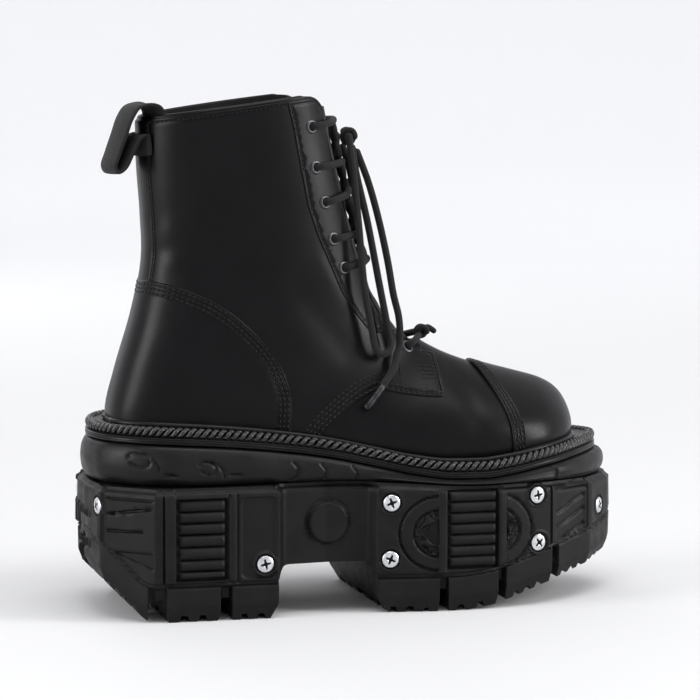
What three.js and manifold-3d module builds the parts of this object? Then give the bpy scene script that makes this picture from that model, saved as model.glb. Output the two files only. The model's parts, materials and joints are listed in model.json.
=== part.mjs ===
// Platform boot, right foot. Millimetres, +Z up, toe towards +X, outer (lateral) side towards -Y,
// origin on the floor under the middle of the sole.
import * as THREE from 'three';
import { mergeVertices } from 'three/addons/utils/BufferGeometryUtils.js';
import Module from 'manifold-3d';

const wasm = await Module();
wasm.setup();

// ---------------------------------------------------------------- driving sizes
const GAP = 0.3;            // clearance between neighbouring pieces
const WALL = 2.4;           // upper: leather and lining together
const CAP_T = 1.4;          // how far toe cap and heel counter stand proud
const WELT_T = 8.5;         // height of the welt's edge
const WELT_IN = 24;         // inner edge of the welt, in from the sole's outline
const WELT_TOE_IN = 5;      // the welt stands further in at the toe
const INSOLE_T = 4;
const LACE_D = 4;
const EYELET_R = 3.7;
const SCREW_R = 4.5;
const BRIDGE_Z = 28;        // underside of the arch bridge
const LUG_DEPTH = 12;

// top of the welt, underside of the midsole and underside of the sole, along the length
const SOLE_HEIGHTS = [
  // x, welt, block, ground
  { x: -156, welt: 103.5, block: 72, ground: 27 },
  { x: -141, welt: 103.7, block: 72, ground: 13.5 },
  { x: -126, welt: 103.5, block: 72, ground: 0 },
  { x: -100, welt: 102.5, block: 72, ground: 0 },
  { x: -75, welt: 100.5, block: 72, ground: 0 },
  { x: -50, welt: 97.5, block: 72, ground: 0 },
  { x: -25, welt: 93.5, block: 72, ground: 0 },
  { x: 0, welt: 88, block: 71.5, ground: 0 },
  { x: 20, welt: 83.5, block: 70.5, ground: 0 },
  { x: 42, welt: 80.7, block: 69, ground: 0 },
  { x: 60, welt: 80.5, block: 68.5, ground: 1.6 },
  { x: 75, welt: 82, block: 68.5, ground: 5 },
  { x: 103, welt: 86, block: 68, ground: 13 },
  { x: 130, welt: 88, block: 67, ground: 19 },
  { x: 156, welt: 88.5, block: 66, ground: 24.5 },
];

// plan outline of welt and midsole, from heel to toe
const OUTLINE = [
  // x, lateral, medial
  { x: -152, lateral: -15, medial: 15 },
  { x: -145, lateral: -31, medial: 31 },
  { x: -130, lateral: -45, medial: 45 },
  { x: -105, lateral: -53, medial: 52 },
  { x: -75, lateral: -53, medial: 51 },
  { x: -40, lateral: -50, medial: 46 },
  { x: -10, lateral: -51.5, medial: 45.5 },
  { x: 20, lateral: -56.5, medial: 50 },
  { x: 50, lateral: -59.5, medial: 56 },
  { x: 78, lateral: -58, medial: 59.5 },
  { x: 104, lateral: -50, medial: 57 },
  { x: 126, lateral: -36, medial: 47.5 },
  { x: 142, lateral: -19, medial: 35 },
  { x: 151, lateral: -3, medial: 21 },
];
const HEEL_TIP = { x: -154, y: 0 };
const TOE_TIP = { x: 154, y: 9 };

// plan outline of the faceted outsole block, from heel to toe
const BLOCK = [
  // x, lateral, medial
  { x: -154, lateral: -10, medial: 10 },
  { x: -150, lateral: -34, medial: 34 },
  { x: -124, lateral: -56, medial: 55 },
  { x: -56, lateral: -56.5, medial: 53.5 },
  { x: -52, lateral: -49, medial: 45 },
  { x: -28, lateral: -46.5, medial: 40.5 },
  { x: -5, lateral: -48.5, medial: 43 },
  { x: -1, lateral: -55, medial: 49.5 },
  { x: 34, lateral: -60, medial: 54.5 },
  { x: 67, lateral: -59.5, medial: 60 },
  { x: 101, lateral: -51, medial: 58 },
  { x: 129, lateral: -34, medial: 46 },
  { x: 148, lateral: -11, medial: 29 },
  { x: 154, lateral: 3, medial: 15 },
];

// Sections of the last, fanned from the collar round the ankle to the toe. Each runs in its own plane
// from a point on the front or top line to one on the back or bottom line. low = how far the widest
// place sits towards the bottom, soft = roundness of the bottom end, mid = sideways place of its middle.
const SECTIONS = [
  { name: 'collar', fx: -17, fz: 282.5, bx: -121.5, bz: 268, lateral: 37.5, medial: 37.5, low: 1.0, soft: 0.85, mid: 0 },
  { name: 'shaft', fx: -13, fz: 262, bx: -121, bz: 243, lateral: 36.5, medial: 36.5, low: 1.0, soft: 0.85, mid: 0 },
  { name: 'lower_shaft', fx: -7, fz: 236, bx: -119, bz: 216, lateral: 36, medial: 35.5, low: 1.0, soft: 0.82, mid: 0 },
  { name: 'ankle', fx: 0, fz: 209, bx: -118.5, bz: 190, lateral: 35.5, medial: 35.5, low: 0.98, soft: 0.8, mid: 0 },
  { name: 'upper_heel', fx: 7, fz: 187, bx: -124, bz: 161, lateral: 36, medial: 36, low: 0.95, soft: 0.76, mid: 0 },
  { name: 'heel_back', fx: 14, fz: 170, bx: -133, bz: 130, lateral: 37, medial: 36.5, low: 0.92, soft: 0.7, mid: 0 },
  { name: 'heel', fx: 22, fz: 158, bx: -138, bz: 105, lateral: 38, medial: 37, low: 0.9, soft: 0.66, mid: 0 },
  { name: 'heel_seat', fx: 30, fz: 150, bx: -131, bz: 83, lateral: 38.5, medial: 37, low: 0.86, soft: 0.62, mid: 0 },
  { name: 'instep', fx: 38, fz: 144, bx: -96, bz: 79, lateral: 38.5, medial: 36.5, low: 0.8, soft: 0.6, mid: 0 },
  { name: 'waist', fx: 47, fz: 139, bx: -50, bz: 77, lateral: 40, medial: 36.5, low: 0.74, soft: 0.58, mid: 0 },
  { name: 'low_instep', fx: 56, fz: 135, bx: -6, bz: 71, lateral: 44, medial: 39, low: 0.7, soft: 0.56, mid: 0 },
  { name: 'ball', fx: 69, fz: 130.5, bx: 34, bz: 65, lateral: 47.5, medial: 44, low: 0.66, soft: 0.54, mid: 0.5 },
  { name: 'joint', fx: 85, fz: 126, bx: 70, bz: 66, lateral: 47.5, medial: 46, low: 0.64, soft: 0.54, mid: 2 },
  { name: 'toe_root', fx: 101, fz: 122, bx: 96, bz: 71, lateral: 43.5, medial: 44, low: 0.62, soft: 0.54, mid: 3.5 },
  { name: 'toe', fx: 114, fz: 119.5, bx: 115, bz: 75, lateral: 37, medial: 39.5, low: 0.62, soft: 0.54, mid: 5.5 },
  { name: 'toe_end', fx: 127.8, fz: 117.5, bx: 127.8, bz: 77, lateral: 31, medial: 34, low: 0.62, soft: 0.54, mid: 8 },
];
const TOE_ROUND_FROM = 0.7;   // share of the section row at which the toe begins to close
const TOE_CLOSE_Z = 95;       // height at which the toe closes

// ---------------------------------------------------------------- helpers
const lerp = (a, b, t) => a + (b - a) * t;
const clamp = (x, a, b) => Math.max(a, Math.min(b, x));

// smooth value of a table's column at a place in its x column
function column(table, key, x) {
  const n = table.length;
  let i = 0;
  while (i < n - 2 && x > table[i + 1].x) i++;
  const slope = (k) => {
    if (k <= 0 || k >= n - 1) return null;
    const d0 = (table[k][key] - table[k - 1][key]) / (table[k].x - table[k - 1].x);
    const d1 = (table[k + 1][key] - table[k][key]) / (table[k + 1].x - table[k].x);
    return d0 * d1 <= 0 ? 0 : (2 * d0 * d1) / (d0 + d1);
  };
  const a = table[i], b = table[i + 1], h = b.x - a.x, d = (b[key] - a[key]) / h;
  const m0 = slope(i) ?? d, m1 = slope(i + 1) ?? d;
  const t = clamp((x - a.x) / h, -0.5, 1.5);
  const t2 = t * t, t3 = t2 * t;
  return (2 * t3 - 3 * t2 + 1) * a[key] + (t3 - 2 * t2 + t) * h * m0 + (-2 * t3 + 3 * t2) * b[key] + (t3 - t2) * h * m1;
}
const weltTop = (x) => column(SOLE_HEIGHTS, 'welt', x);
const blockTop = (x) => column(SOLE_HEIGHTS, 'block', x);
const ground = (x) => column(SOLE_HEIGHTS, 'ground', x);

function geometryFrom(positions, triangles) {
  const g = new THREE.BufferGeometry();
  g.setAttribute('position', new THREE.Float32BufferAttribute(positions.flat(), 3));
  g.setIndex(triangles.flat());
  return g;
}

function volume(g) {
  const p = g.attributes.position, ix = g.index;
  const a = new THREE.Vector3(), b = new THREE.Vector3(), c = new THREE.Vector3();
  let v = 0;
  for (let i = 0; i < ix.count; i += 3) {
    a.fromBufferAttribute(p, ix.getX(i)); b.fromBufferAttribute(p, ix.getX(i + 1)); c.fromBufferAttribute(p, ix.getX(i + 2));
    v += a.dot(b.cross(c)) / 6;
  }
  return v;
}

// closed body from rings of equal length; 'fan' closes an end round its middle, 'ladder' joins
// point k with point n-k, which suits outlines that bend along their length
function loft(rings, ends = 'fan') {
  const n = rings[0].length;
  const pos = rings.flat().map((p) => [...p]);
  const tri = [];
  const at = (r, k) => r * n + ((k + n) % n);
  for (let r = 0; r < rings.length - 1; r++) {
    for (let k = 0; k < n; k++) {
      tri.push([at(r, k), at(r, k + 1), at(r + 1, k + 1)], [at(r, k), at(r + 1, k + 1), at(r + 1, k)]);
    }
  }
  for (const [r, flip] of [[0, true], [rings.length - 1, false]]) {
    const face = (a, b, c) => tri.push(flip ? [a, c, b] : [a, b, c]);
    if (ends === 'fan') {
      const mid = [0, 1, 2].map((j) => rings[r].reduce((s, p) => s + p[j], 0) / n);
      pos.push(mid);
      for (let k = 0; k < n; k++) face(at(r, k), at(r, k + 1), pos.length - 1);
    } else {
      for (let k = 0; k < n / 2; k++) {
        const a = at(r, k), b = at(r, k + 1), c = at(r, n - k - 1), d = at(r, n - k);
        if (k > 0) face(a, b, d);
        if (k < n / 2 - 1) face(b, c, d);
      }
    }
  }
  let g = geometryFrom(pos, tri);
  if (volume(g) < 0) g = geometryFrom(pos, tri.map(([a, b, c]) => [a, c, b]));
  return g;
}

function solid(g) {
  const m = g.clone();
  for (const name of Object.keys(m.attributes)) if (name !== 'position') m.deleteAttribute(name);
  const w = mergeVertices(m.index ? m : m, 1e-4);
  return new wasm.Manifold(new wasm.Mesh({
    numProp: 3,
    vertProperties: new Float32Array(w.attributes.position.array),
    triVerts: new Uint32Array(w.index.array),
  }));
}

function fromSolid(s) {
  const m = s.getMesh();
  const g = new THREE.BufferGeometry();
  const p = new Float32Array(m.numVert * 3);
  for (let i = 0; i < m.numVert; i++) for (let j = 0; j < 3; j++) p[i * 3 + j] = m.vertProperties[i * m.numProp + j];
  g.setAttribute('position', new THREE.BufferAttribute(p, 3));
  g.setIndex([...m.triVerts]);
  return g;
}

const cut = (a, ...tools) => tools.reduce((s, t) => s.subtract(t), a);
const join = (...all) => all.reduce((s, t) => s.add(t));

function box(x0, x1, y0, y1, z0, z1) {
  return solid(new THREE.BoxGeometry(x1 - x0, y1 - y0, z1 - z0).translate((x0 + x1) / 2, (y0 + y1) / 2, (z0 + z1) / 2));
}

// a shape drawn in the X-Z plane and carried across Y
function across(points, y0, y1) {
  const shape = new THREE.Shape(points.map(([x, z]) => new THREE.Vector2(x, z)));
  const g = new THREE.ExtrudeGeometry(shape, { depth: y1 - y0, bevelEnabled: false, curveSegments: 6 });
  g.rotateX(Math.PI / 2).translate(0, y1, 0);
  return solid(g);
}

// ---------------------------------------------------------------- sole layers
const outlineCurve = new THREE.CatmullRomCurve3(
  [
    new THREE.Vector3(TOE_TIP.x, TOE_TIP.y, 0),
    ...[...OUTLINE].reverse().map((r) => new THREE.Vector3(r.x, r.lateral, 0)),
    new THREE.Vector3(HEEL_TIP.x, HEEL_TIP.y, 0),
    ...OUTLINE.map((r) => new THREE.Vector3(r.x, r.medial, 0)),
  ],
  true, 'centripetal',
);
const OUT_POINTS = 40;
const toeward = (x) => { const t = clamp((x - 95) / 50, 0, 1); return t * t * (3 - 2 * t); };
function outlineRing(inset, toeInset = 0) {
  const n = OUT_POINTS;
  const ring = [];
  for (let i = 0; i < n; i++) {
    const t = i / n;
    const p = outlineCurve.getPoint(t), q = outlineCurve.getTangent(t);
    // the curve runs clockwise seen from above, so its inner side lies to the right
    const d = inset + toeInset * toeward(p.x);
    ring.push([p.x + q.y * d, p.y - q.x * d]);
  }
  return ring;
}

// plate between two height functions with an edge profile of rows { inset, up }
function plate(low, high, profile, toeInset = 0) {
  return loft(profile.map((row) => outlineRing(row.inset, toeInset).map(([x, y]) => [x, y, lerp(low(x), high(x), row.up)])), 'ladder');
}

function blockRing(inset) {
  const rows = [];
  for (let i = 0; i < BLOCK.length - 1; i++) {
    const a = BLOCK[i], b = BLOCK[i + 1], n = Math.max(1, Math.ceil((b.x - a.x) / 18));
    for (let k = 0; k < n; k++) {
      const t = k / n;
      rows.push([lerp(a.x, b.x, t), lerp(a.lateral, b.lateral, t), lerp(a.medial, b.medial, t)]);
    }
  }
  const z = BLOCK[BLOCK.length - 1];
  rows.push([z.x, z.lateral, z.medial]);
  const kx = (154 - inset) / 154;
  const lat = rows.map(([x, l]) => [x * kx, l + inset * 0.9]);
  const med = rows.map(([x, , m]) => [x * kx, m - inset * 0.9]);
  return [...lat.reverse(), ...med];
}

// ladder for the block: its ring holds n/2 lateral points from toe to heel and n/2 medial points back
function blockPlate(low, high, profile) {
  const rings = profile.map((row) => blockRing(row.inset).map(([x, y]) => [x, y, lerp(low(x), high(x), row.up)]));
  const n = rings[0].length;
  const pos = rings.flat().map((p) => [...p]);
  const tri = [];
  for (let r = 0; r < rings.length - 1; r++) {
    for (let k = 0; k < n; k++) {
      const k1 = (k + 1) % n;
      tri.push([r * n + k, r * n + k1, (r + 1) * n + k1], [r * n + k, (r + 1) * n + k1, (r + 1) * n + k]);
    }
  }
  for (const [r, flip] of [[0, true], [rings.length - 1, false]]) {
    for (let k = 0; k < n / 2 - 1; k++) {
      const a = r * n + k, b = r * n + k + 1, c = r * n + n - 2 - k, d = r * n + n - 1 - k;
      tri.push(flip ? [a, d, b] : [a, b, d], flip ? [b, d, c] : [b, c, d]);
    }
  }
  let g = geometryFrom(pos, tri);
  if (volume(g) < 0) g = geometryFrom(pos, tri.map(([a, b, c]) => [a, c, b]));
  return g;
}

function makeOutsole() {
  let body = solid(blockPlate(ground, (x) => blockTop(x) - GAP / 2, [
    { inset: 2.5, up: 0 }, { inset: 0.2, up: 0.12 }, { inset: 0, up: 0.5 }, { inset: 1.5, up: 1 },
  ]));
  const r = 7;                                   // corner radius under the bridge
  const arc = (cx, cz, from, to) => [0, 1, 2, 3].map((k) => {
    const a = lerp(from, to, k / 3);
    return [cx + r * Math.cos(a), cz + r * Math.sin(a)];
  });
  const arch = across([
    [-63, -5], [-56, 9], ...arc(-56 + r, BRIDGE_Z - r, Math.PI, Math.PI / 2), ...arc(-1 - r, BRIDGE_Z - r, Math.PI / 2, 0), [-1, 11], [8, -5],
  ], -80, 80);
  const gaps = [
    // from, to
    [-128, -117.5], [-88.5, -82], [33, 38.5], [67, 72], [101, 106],
  ].map(([a, b]) => {
    const g = ground((a + b) / 2);
    return across([[a - 1, -6], [a + 0.8, g + LUG_DEPTH], [b - 0.8, g + LUG_DEPTH], [b + 1, -6]], -80, 80);
  });
  return cut(body, arch, ...gaps);
}

const midTop = (x) => weltTop(x) - WELT_T - GAP / 2;
function makeMidsole() {
  const roll = solid(plate((x) => blockTop(x) + GAP / 2, midTop, [
    { inset: 5.5, up: 0 }, { inset: 2.2, up: 0.1 }, { inset: 0.6, up: 0.4 }, { inset: 0.6, up: 0.65 }, { inset: 2.2, up: 0.92 }, { inset: 4.2, up: 1 },
  ], 2.5));
  const bed = solid(plate((x) => midTop(x) - 2, (x) => weltTop(x) - 0.6, [{ inset: WELT_IN + GAP, up: 0 }, { inset: WELT_IN + GAP, up: 1 }]));
  return join(roll, bed);
}

function makeWelt() {
  const ring = solid(plate((x) => weltTop(x) - WELT_T + GAP / 2, weltTop, [
    { inset: 4.6, up: 0 }, { inset: 3.4, up: 0.2 }, { inset: 3.2, up: 0.6 }, { inset: 4.2, up: 0.88 }, { inset: 6, up: 1 },
  ], WELT_TOE_IN));
  const hole = solid(plate((x) => weltTop(x) - 20, (x) => weltTop(x) + 20, [{ inset: WELT_IN, up: 0 }, { inset: WELT_IN, up: 1 }]));
  return cut(ring, hole);
}

// ---------------------------------------------------------------- last
const KEYS = ['fx', 'fz', 'bx', 'bz', 'lateral', 'medial', 'low', 'soft', 'mid'];
// section at v: 0 at the collar, 1 at the toe
function section(v) {
  const n = SECTIONS.length - 1;
  const s = v * n, i = clamp(Math.floor(s), 0, n - 1), t = s - i;
  const row = (k) => SECTIONS[clamp(k, 0, n)];
  const out = {};
  for (const key of KEYS) {
    const p1 = row(i)[key], p2 = row(i + 1)[key];
    const p0 = i > 0 ? row(i - 1)[key] : 2 * p1 - p2, p3 = i < n - 1 ? row(i + 2)[key] : 2 * p2 - p1;
    out[key] = 0.5 * (2 * p1 + (p2 - p0) * t + (2 * p0 - 5 * p1 + 4 * p2 - p3) * t * t + (3 * p1 - p0 - 3 * p2 + p3) * t * t * t);
  }
  const c = clamp((v - TOE_ROUND_FROM) / (1 - TOE_ROUND_FROM), 0, 1);
  const close = Math.sqrt(Math.max(0, 1 - c ** 5));
  out.lateral *= close; out.medial *= close;
  out.fz = TOE_CLOSE_Z + (out.fz - TOE_CLOSE_Z) * (0.15 * close + 0.85 * Math.sqrt(Math.max(0, 1 - c ** 7)));
  out.bz = TOE_CLOSE_Z + (out.bz - TOE_CLOSE_Z) * close;
  return out;
}

// point of the last; u runs round the section: 0 front or top, 0.25 lateral, 0.5 back or bottom, 0.75 medial
function skin(u, v) {
  const s = section(v);
  const w = ((u % 1) + 1) % 1;
  const side = w <= 0.5 ? -s.lateral : s.medial;
  const a = (w <= 0.5 ? w : 1 - w) * 2 * Math.PI;
  const along = ((1 - Math.cos(a)) / 2) ** s.low;
  const sin = Math.max(0, Math.sin(a));
  const bulge = a < Math.PI / 2 ? sin ** 0.95 : sin ** s.soft;
  return new THREE.Vector3(lerp(s.fx, s.bx, along), s.mid + side * bulge, lerp(s.fz, s.bz, along));
}

// the same point moved off the last along its own normal
function surf(u, v, off) {
  const p = skin(u, v);
  if (!off) return p;
  const e = 1e-3, v0 = v - e, v1 = Math.min(1 - 2e-3, v + e);
  const vv0 = v > 1 - 3e-3 ? 1 - 4e-3 : v0, vv1 = v > 1 - 3e-3 ? 1 - 2e-3 : v1;
  const uu = [u - 0.004, u + 0.004];
  const du = skin(uu[1], v > 1 - 3e-3 ? 1 - 3e-3 : v).sub(skin(uu[0], v > 1 - 3e-3 ? 1 - 3e-3 : v));
  const dv = skin(u, vv1).sub(skin(u, vv0));
  const nrm = du.cross(dv).normalize();
  return p.addScaledVector(nrm, off);
}

const AROUND = 24;
function rowsOf(count, top = 0) {
  const rows = [];
  for (let k = 0; k <= count; k++) rows.push(lerp(top, 1, k / count));
  return rows;
}
// evenly spread section places, closer at the toe
const PLACES = [...rowsOf(17).map((v) => v * 0.93), 0.955, 0.977, 0.992, 0.998];
function tube(off, places = PLACES, extend = 0) {
  const rings = places.map((v) => {
    const ring = [];
    for (let k = 0; k < AROUND; k++) ring.push(surf(k / AROUND, v, off).toArray());
    return ring;
  });
  if (extend) rings.unshift(rings[0].map(([x, y, z]) => [x - extend * 0.1, y, z + extend]));
  return solid(loft(rings));
}

// u at a distance in millimetres from the front line, measured round the section; negative is lateral
function uAt(v, mm) {
  const side = mm < 0 ? 1 : -1, step = 0.004;
  let u = 0, sum = 0, last = skin(0, v);
  while (sum < Math.abs(mm) && u < 0.5) {
    u += step;
    const p = skin(side * u, v);
    sum += p.distanceTo(last);
    last = p;
  }
  return side * (u - step * clamp((sum - Math.abs(mm)) / 0.8, 0, 1));
}

// place on the last at a given x and z, on the side given by sign (-1 lateral, 1 medial)
function locate(x, z, sign) {
  const at = (q) => skin(-sign * q[0], q[1]);
  let best = [0.2, 0.3], err = Infinity;
  for (let i = 1; i < 24; i++) for (let j = 0; j < 40; j++) {
    const q = [i / 48, j / 41], p = at(q), e = (p.x - x) ** 2 + (p.z - z) ** 2;
    if (e < err) { err = e; best = q; }
  }
  for (let k = 0; k < 12; k++) {
    const p = at(best), h = 1e-4, a = at([best[0] + h, best[1]]), b = at([best[0], best[1] + h]);
    const ax = (a.x - p.x) / h, az = (a.z - p.z) / h, bx = (b.x - p.x) / h, bz = (b.z - p.z) / h;
    const det = ax * bz - bx * az, ex = x - p.x, ez = z - p.z;
    if (Math.abs(det) < 1e-9) break;
    best = [clamp(best[0] + (ex * bz - bx * ez) / det, 0.001, 0.499), clamp(best[1] + (ax * ez - ex * az) / det, -0.05, 0.99)];
  }
  return [-sign * best[0], best[1]];
}

// strip of the last's skin between two offsets, given by rows of [v, lateral mm, medial mm]
function strip(rows, offLow, offHigh, cells) {
  const rings = rows.map(([v, l, m]) => {
    const ring = [];
    for (let k = 0; k <= cells; k++) ring.push(surf(uAt(v, lerp(l, m, k / cells)), v, offHigh).toArray());
    for (let k = cells; k >= 0; k--) ring.push(surf(uAt(v, lerp(l, m, k / cells)), v, offLow).toArray());
    return ring;
  });
  return stripLoft(rings, cells);
}

// closed body from flat-sided rings whose first half lies above the second half
function stripLoft(rings, cells) {
  const n = rings[0].length;
  const pos = rings.flat().map((p) => [...p]);
  const tri = [];
  for (let r = 0; r < rings.length - 1; r++) {
    for (let k = 0; k < n; k++) {
      const k1 = (k + 1) % n;
      tri.push([r * n + k, r * n + k1, (r + 1) * n + k1], [r * n + k, (r + 1) * n + k1, (r + 1) * n + k]);
    }
  }
  for (const [r, flip] of [[0, true], [rings.length - 1, false]]) {
    for (let k = 0; k < cells; k++) {
      const a = r * n + k, b = a + 1, c = r * n + n - 2 - k, d = c + 1;
      tri.push(flip ? [a, d, b] : [a, b, d], flip ? [b, d, c] : [b, c, d]);
    }
  }
  let g = geometryFrom(pos, tri);
  if (volume(g) < 0) g = geometryFrom(pos, tri.map(([a, b, c]) => [a, c, b]));
  return g;
}

// round cord along points
function cord(points, d, sides = 8, steps = 24) {
  const path = new THREE.CatmullRomCurve3(points, false, 'centripetal');
  const shape = new THREE.Shape();
  for (let k = 0; k < sides; k++) {
    const a = (k / sides) * 2 * Math.PI;
    if (k) shape.lineTo(d / 2 * Math.cos(a), d / 2 * Math.sin(a)); else shape.moveTo(d / 2, 0);
  }
  shape.closePath();
  return new THREE.ExtrudeGeometry(shape, { steps, extrudePath: path, curveSegments: 1, bevelEnabled: false });
}

// ---------------------------------------------------------------- throat
const THROAT_END = 0.532;     // section place at which the throat ends
const throatHalf = (v) => {
  const t = clamp(v / THROAT_END, 0, 1);
  const corner = clamp(1 - v / 0.045, 0, 1);
  const tip = clamp((t - 0.9) / 0.1, 0, 1);
  return (lerp(23, 15, t) + 13 * (1 - Math.sqrt(1 - corner ** 2))) * Math.sqrt(Math.max(0.02, 1 - tip ** 2));
};
function throatTool() {
  const rows = [];
  const places = [0.0, 0.006, 0.014, 0.028, 0.045, ...rowsOf(12).map((v) => lerp(0.08, 0.48, v)), 0.495, 0.508, 0.518, 0.526, 0.531];
  for (const v of places) rows.push([v, -throatHalf(v), throatHalf(v)]);
  const cells = 8;
  const ring = (v, l, m) => {
    const r = [];
    for (let k = 0; k <= cells; k++) r.push(surf(uAt(v, lerp(l, m, k / cells)), v, 6).toArray());
    for (let k = cells; k >= 0; k--) r.push(surf(uAt(v, lerp(l, m, k / cells)), v, -7).toArray());
    return r;
  };
  const rings = rows.map(([v, l, m]) => ring(v, l, m));
  rings.unshift(rings[0].map(([x, y, z]) => [x - 1.5, y, z + 12]));
  return solid(stripLoft(rings, cells));
}

function makeUpper(bed) {
  const outer = tube(0);
  const inner = tube(-WALL, PLACES, 12);
  return cut(outer, inner, bed, throatTool());
}

function makeTongue() {
  const rows = [0.026, 0.04, ...rowsOf(12).map((v) => lerp(0.06, 0.55, v))].map((v) => [v, -(v < 0.03 ? 27 : 33) + 8 * v, (v < 0.03 ? 27 : 33) - 8 * v]);
  return solid(strip(rows, -WALL - GAP - 3.5, -WALL - GAP - 0.5, 6));
}

function makeInsole() {
  const slab = solid(plate((x) => weltTop(x) + GAP, (x) => weltTop(x) + GAP + INSOLE_T, [{ inset: -6, up: 0 }, { inset: -6, up: 1 }]));
  return slab.intersect(tube(-WALL - GAP));
}

// proud overlays: shells just outside the upper, kept where their outline lies
const CAP_SEAM = [[66, 160], [66, 133], [69.5, 125.5], [75, 113], [78.5, 101], [79, 88], [79, 55]];
const COUNTER_SEAM = [[-170, 181], [-124, 181], [-103.5, 177], [-83, 167.5], [-65, 152.5], [-52.5, 137], [-46, 120], [-45.5, 104], [-46.5, 55]];
function overlay(points) {
  return cut(tube(GAP + CAP_T), tube(GAP), bedTool).intersect(across(points, -90, 90));
}

// ---------------------------------------------------------------- rear pull loop, a folded webbing strap
const LOOP_LINE = [
  // place, distance off the leather
  { v: 0.035, off: -4 }, { v: 0.005, off: -4 }, { v: -0.013, off: -2.6 }, { v: -0.018, off: 0.8 }, { v: -0.015, off: 6.5 }, { v: 0.0, off: 10.5 },
  { v: 0.025, off: 13.8 }, { v: 0.05, off: 17.2 }, { v: 0.068, off: 19.6 }, { v: 0.075, off: 18.2 }, { v: 0.07, off: 14.6 },
  { v: 0.05, off: 10.4 }, { v: 0.03, off: 6.4 }, { v: 0.026, off: 3.4 }, { v: 0.036, off: 2 }, { v: 0.055, off: 1.9 },
];
const LOOP_HALF = 17.5, LOOP_T = 1.6;
function makePullLoop() {
  const path = new THREE.CatmullRomCurve3(LOOP_LINE.map(({ v, off }) => new THREE.Vector3(v * 400, off, 0)), false, 'centripetal');
  const rings = [], n = 28, cells = 4;
  for (let i = 0; i <= n; i++) {
    const p = path.getPoint(i / n), q = path.getTangent(i / n);
    const at = (k, side) => {
      const y = lerp(-LOOP_HALF, LOOP_HALF, k / cells);
      const v = (p.x - side * q.y * LOOP_T / 2) / 400, off = p.y + side * q.x * LOOP_T / 2;
      return surf(0.5 + (y / 232) * (26 / (26 + off)), v, off).toArray();
    };
    const ring = [];
    for (let k = 0; k <= cells; k++) ring.push(at(k, 1));
    for (let k = cells; k >= 0; k--) ring.push(at(k, -1));
    rings.push(ring);
  }
  return stripLoft(rings, cells);
}

// ---------------------------------------------------------------- eyelets and lace
const EYELETS = [
  // x, z of the lateral row
  { x: -33, z: 263.5 }, { x: -30.5, z: 241.5 }, { x: -25, z: 222.5 }, { x: -20, z: 202.5 }, { x: -13.5, z: 186.5 }, { x: 26, z: 141 },
].map(({ x, z }) => {
  const [u, v] = locate(x, z, -1);
  let mm = 0, last = skin(0, v);
  for (let k = 1; k <= 60; k++) { const p = skin(u * k / 60, v); mm += p.distanceTo(last); last = p; }
  return { v, mm };
});
function frameAt(u, v, off) {
  const p = surf(u, v, off), nrm = surf(u, v, off + 1).sub(p).normalize();
  const down = surf(u, v + 0.01, off).sub(p).normalize();
  const side = new THREE.Vector3().crossVectors(nrm, down).normalize();
  return new THREE.Matrix4().makeBasis(side, new THREE.Vector3().crossVectors(nrm, side).normalize(), nrm).setPosition(p);
}
function makeEyelet(u, v) {
  const profile = [[2.1, 0], [EYELET_R, 0], [EYELET_R - 0.9, 0.9], [2.1, 0]].map(([r, z]) => new THREE.Vector2(r, z));
  const ring = new THREE.LatheGeometry(profile, 8).rotateX(Math.PI / 2);
  return fromSolid(solid(ring.applyMatrix4(frameAt(u, v, 0.75))));
}
function makeLaceBars() {
  const parts = [];
  const off = (mm, edge) => lerp(2.4, 4.8, clamp((Math.abs(mm) - edge + 8) / 8, 0, 1));
  for (const { v, mm } of EYELETS) {
    const pts = [];
    for (let k = -5; k <= 5; k++) {
      const d = (mm * k) / 5;
      pts.push(surf(uAt(v, d), v, k === -5 || k === 5 ? 5.3 : off(d, mm)));
    }
    parts.push(solid(cord(pts, LACE_D, 5, 8)));
  }
  for (const side of [-1, 1]) {
    const pts = [];
    for (let k = 0; k <= 9; k++) {
      const v = lerp(EYELETS[0].v, EYELETS[5].v, k / 9);
      pts.push(surf(uAt(v, side * lerp(14, 8, k / 9)), v, 2.3));
    }
    parts.push(solid(cord(pts, LACE_D * 0.8, 5, 10)));
  }
  return join(...parts);
}
// free lace runs as rows of [place, distance from the front line, distance off the leather]
const LACE_RUNS = {
  lace_loop_lateral: [[0.082, -10.5, 7.6], [0.12, -16, 8], [0.2, -23, 8.4], [0.3, -30, 8.4], [0.4, -36, 7.6], [0.455, -39.5, 6.6], [0.482, -37, 6.2], [0.468, -32, 6.6], [0.4, -26.5, 7.2], [0.3, -18, 7.4], [0.2, -9.5, 7], [0.13, -5, 7], [0.099, -7.5, 7.8]],
  lace_loop_medial: [[0.082, 10.5, 7.6], [0.12, 15, 8], [0.2, 24, 8.6], [0.28, 34, 8.6], [0.35, 40, 7.6], [0.39, 36, 7], [0.375, 27, 7.2], [0.3, 17, 7.4], [0.2, 8, 7.2], [0.13, 5.5, 7.4], [0.099, 8, 8]],
  lace_end_lateral: [[0.108, -0.5, 11], [0.15, -3.5, 12.6], [0.2, -6.5, 13], [0.27, -10.5, 12.4], [0.34, -14.5, 11.4], [0.4, -18, 10], [0.45, -22.5, 8], [0.495, -28.5, 6.4], [0.52, -35, 6], [0.545, -41, 5.8], [0.5645, -51.5, 5.4], [0.5775, -61.5, 5.1], [0.588, -72.6, 5]],
  lace_end_medial: [[0.108, 2, 11.2], [0.14, 10, 13.4], [0.18, 25, 14], [0.22, 40, 13], [0.28, 52, 9.5], [0.38, 56, 7], [0.46, 61, 5.8], [0.52, 68, 5.2], [0.56, 76, 5]],
};
function makeRun(rows) {
  return cord(rows.map(([v, mm, off]) => surf(uAt(v, mm), v, off)), LACE_D, 6, 16);
}
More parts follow.
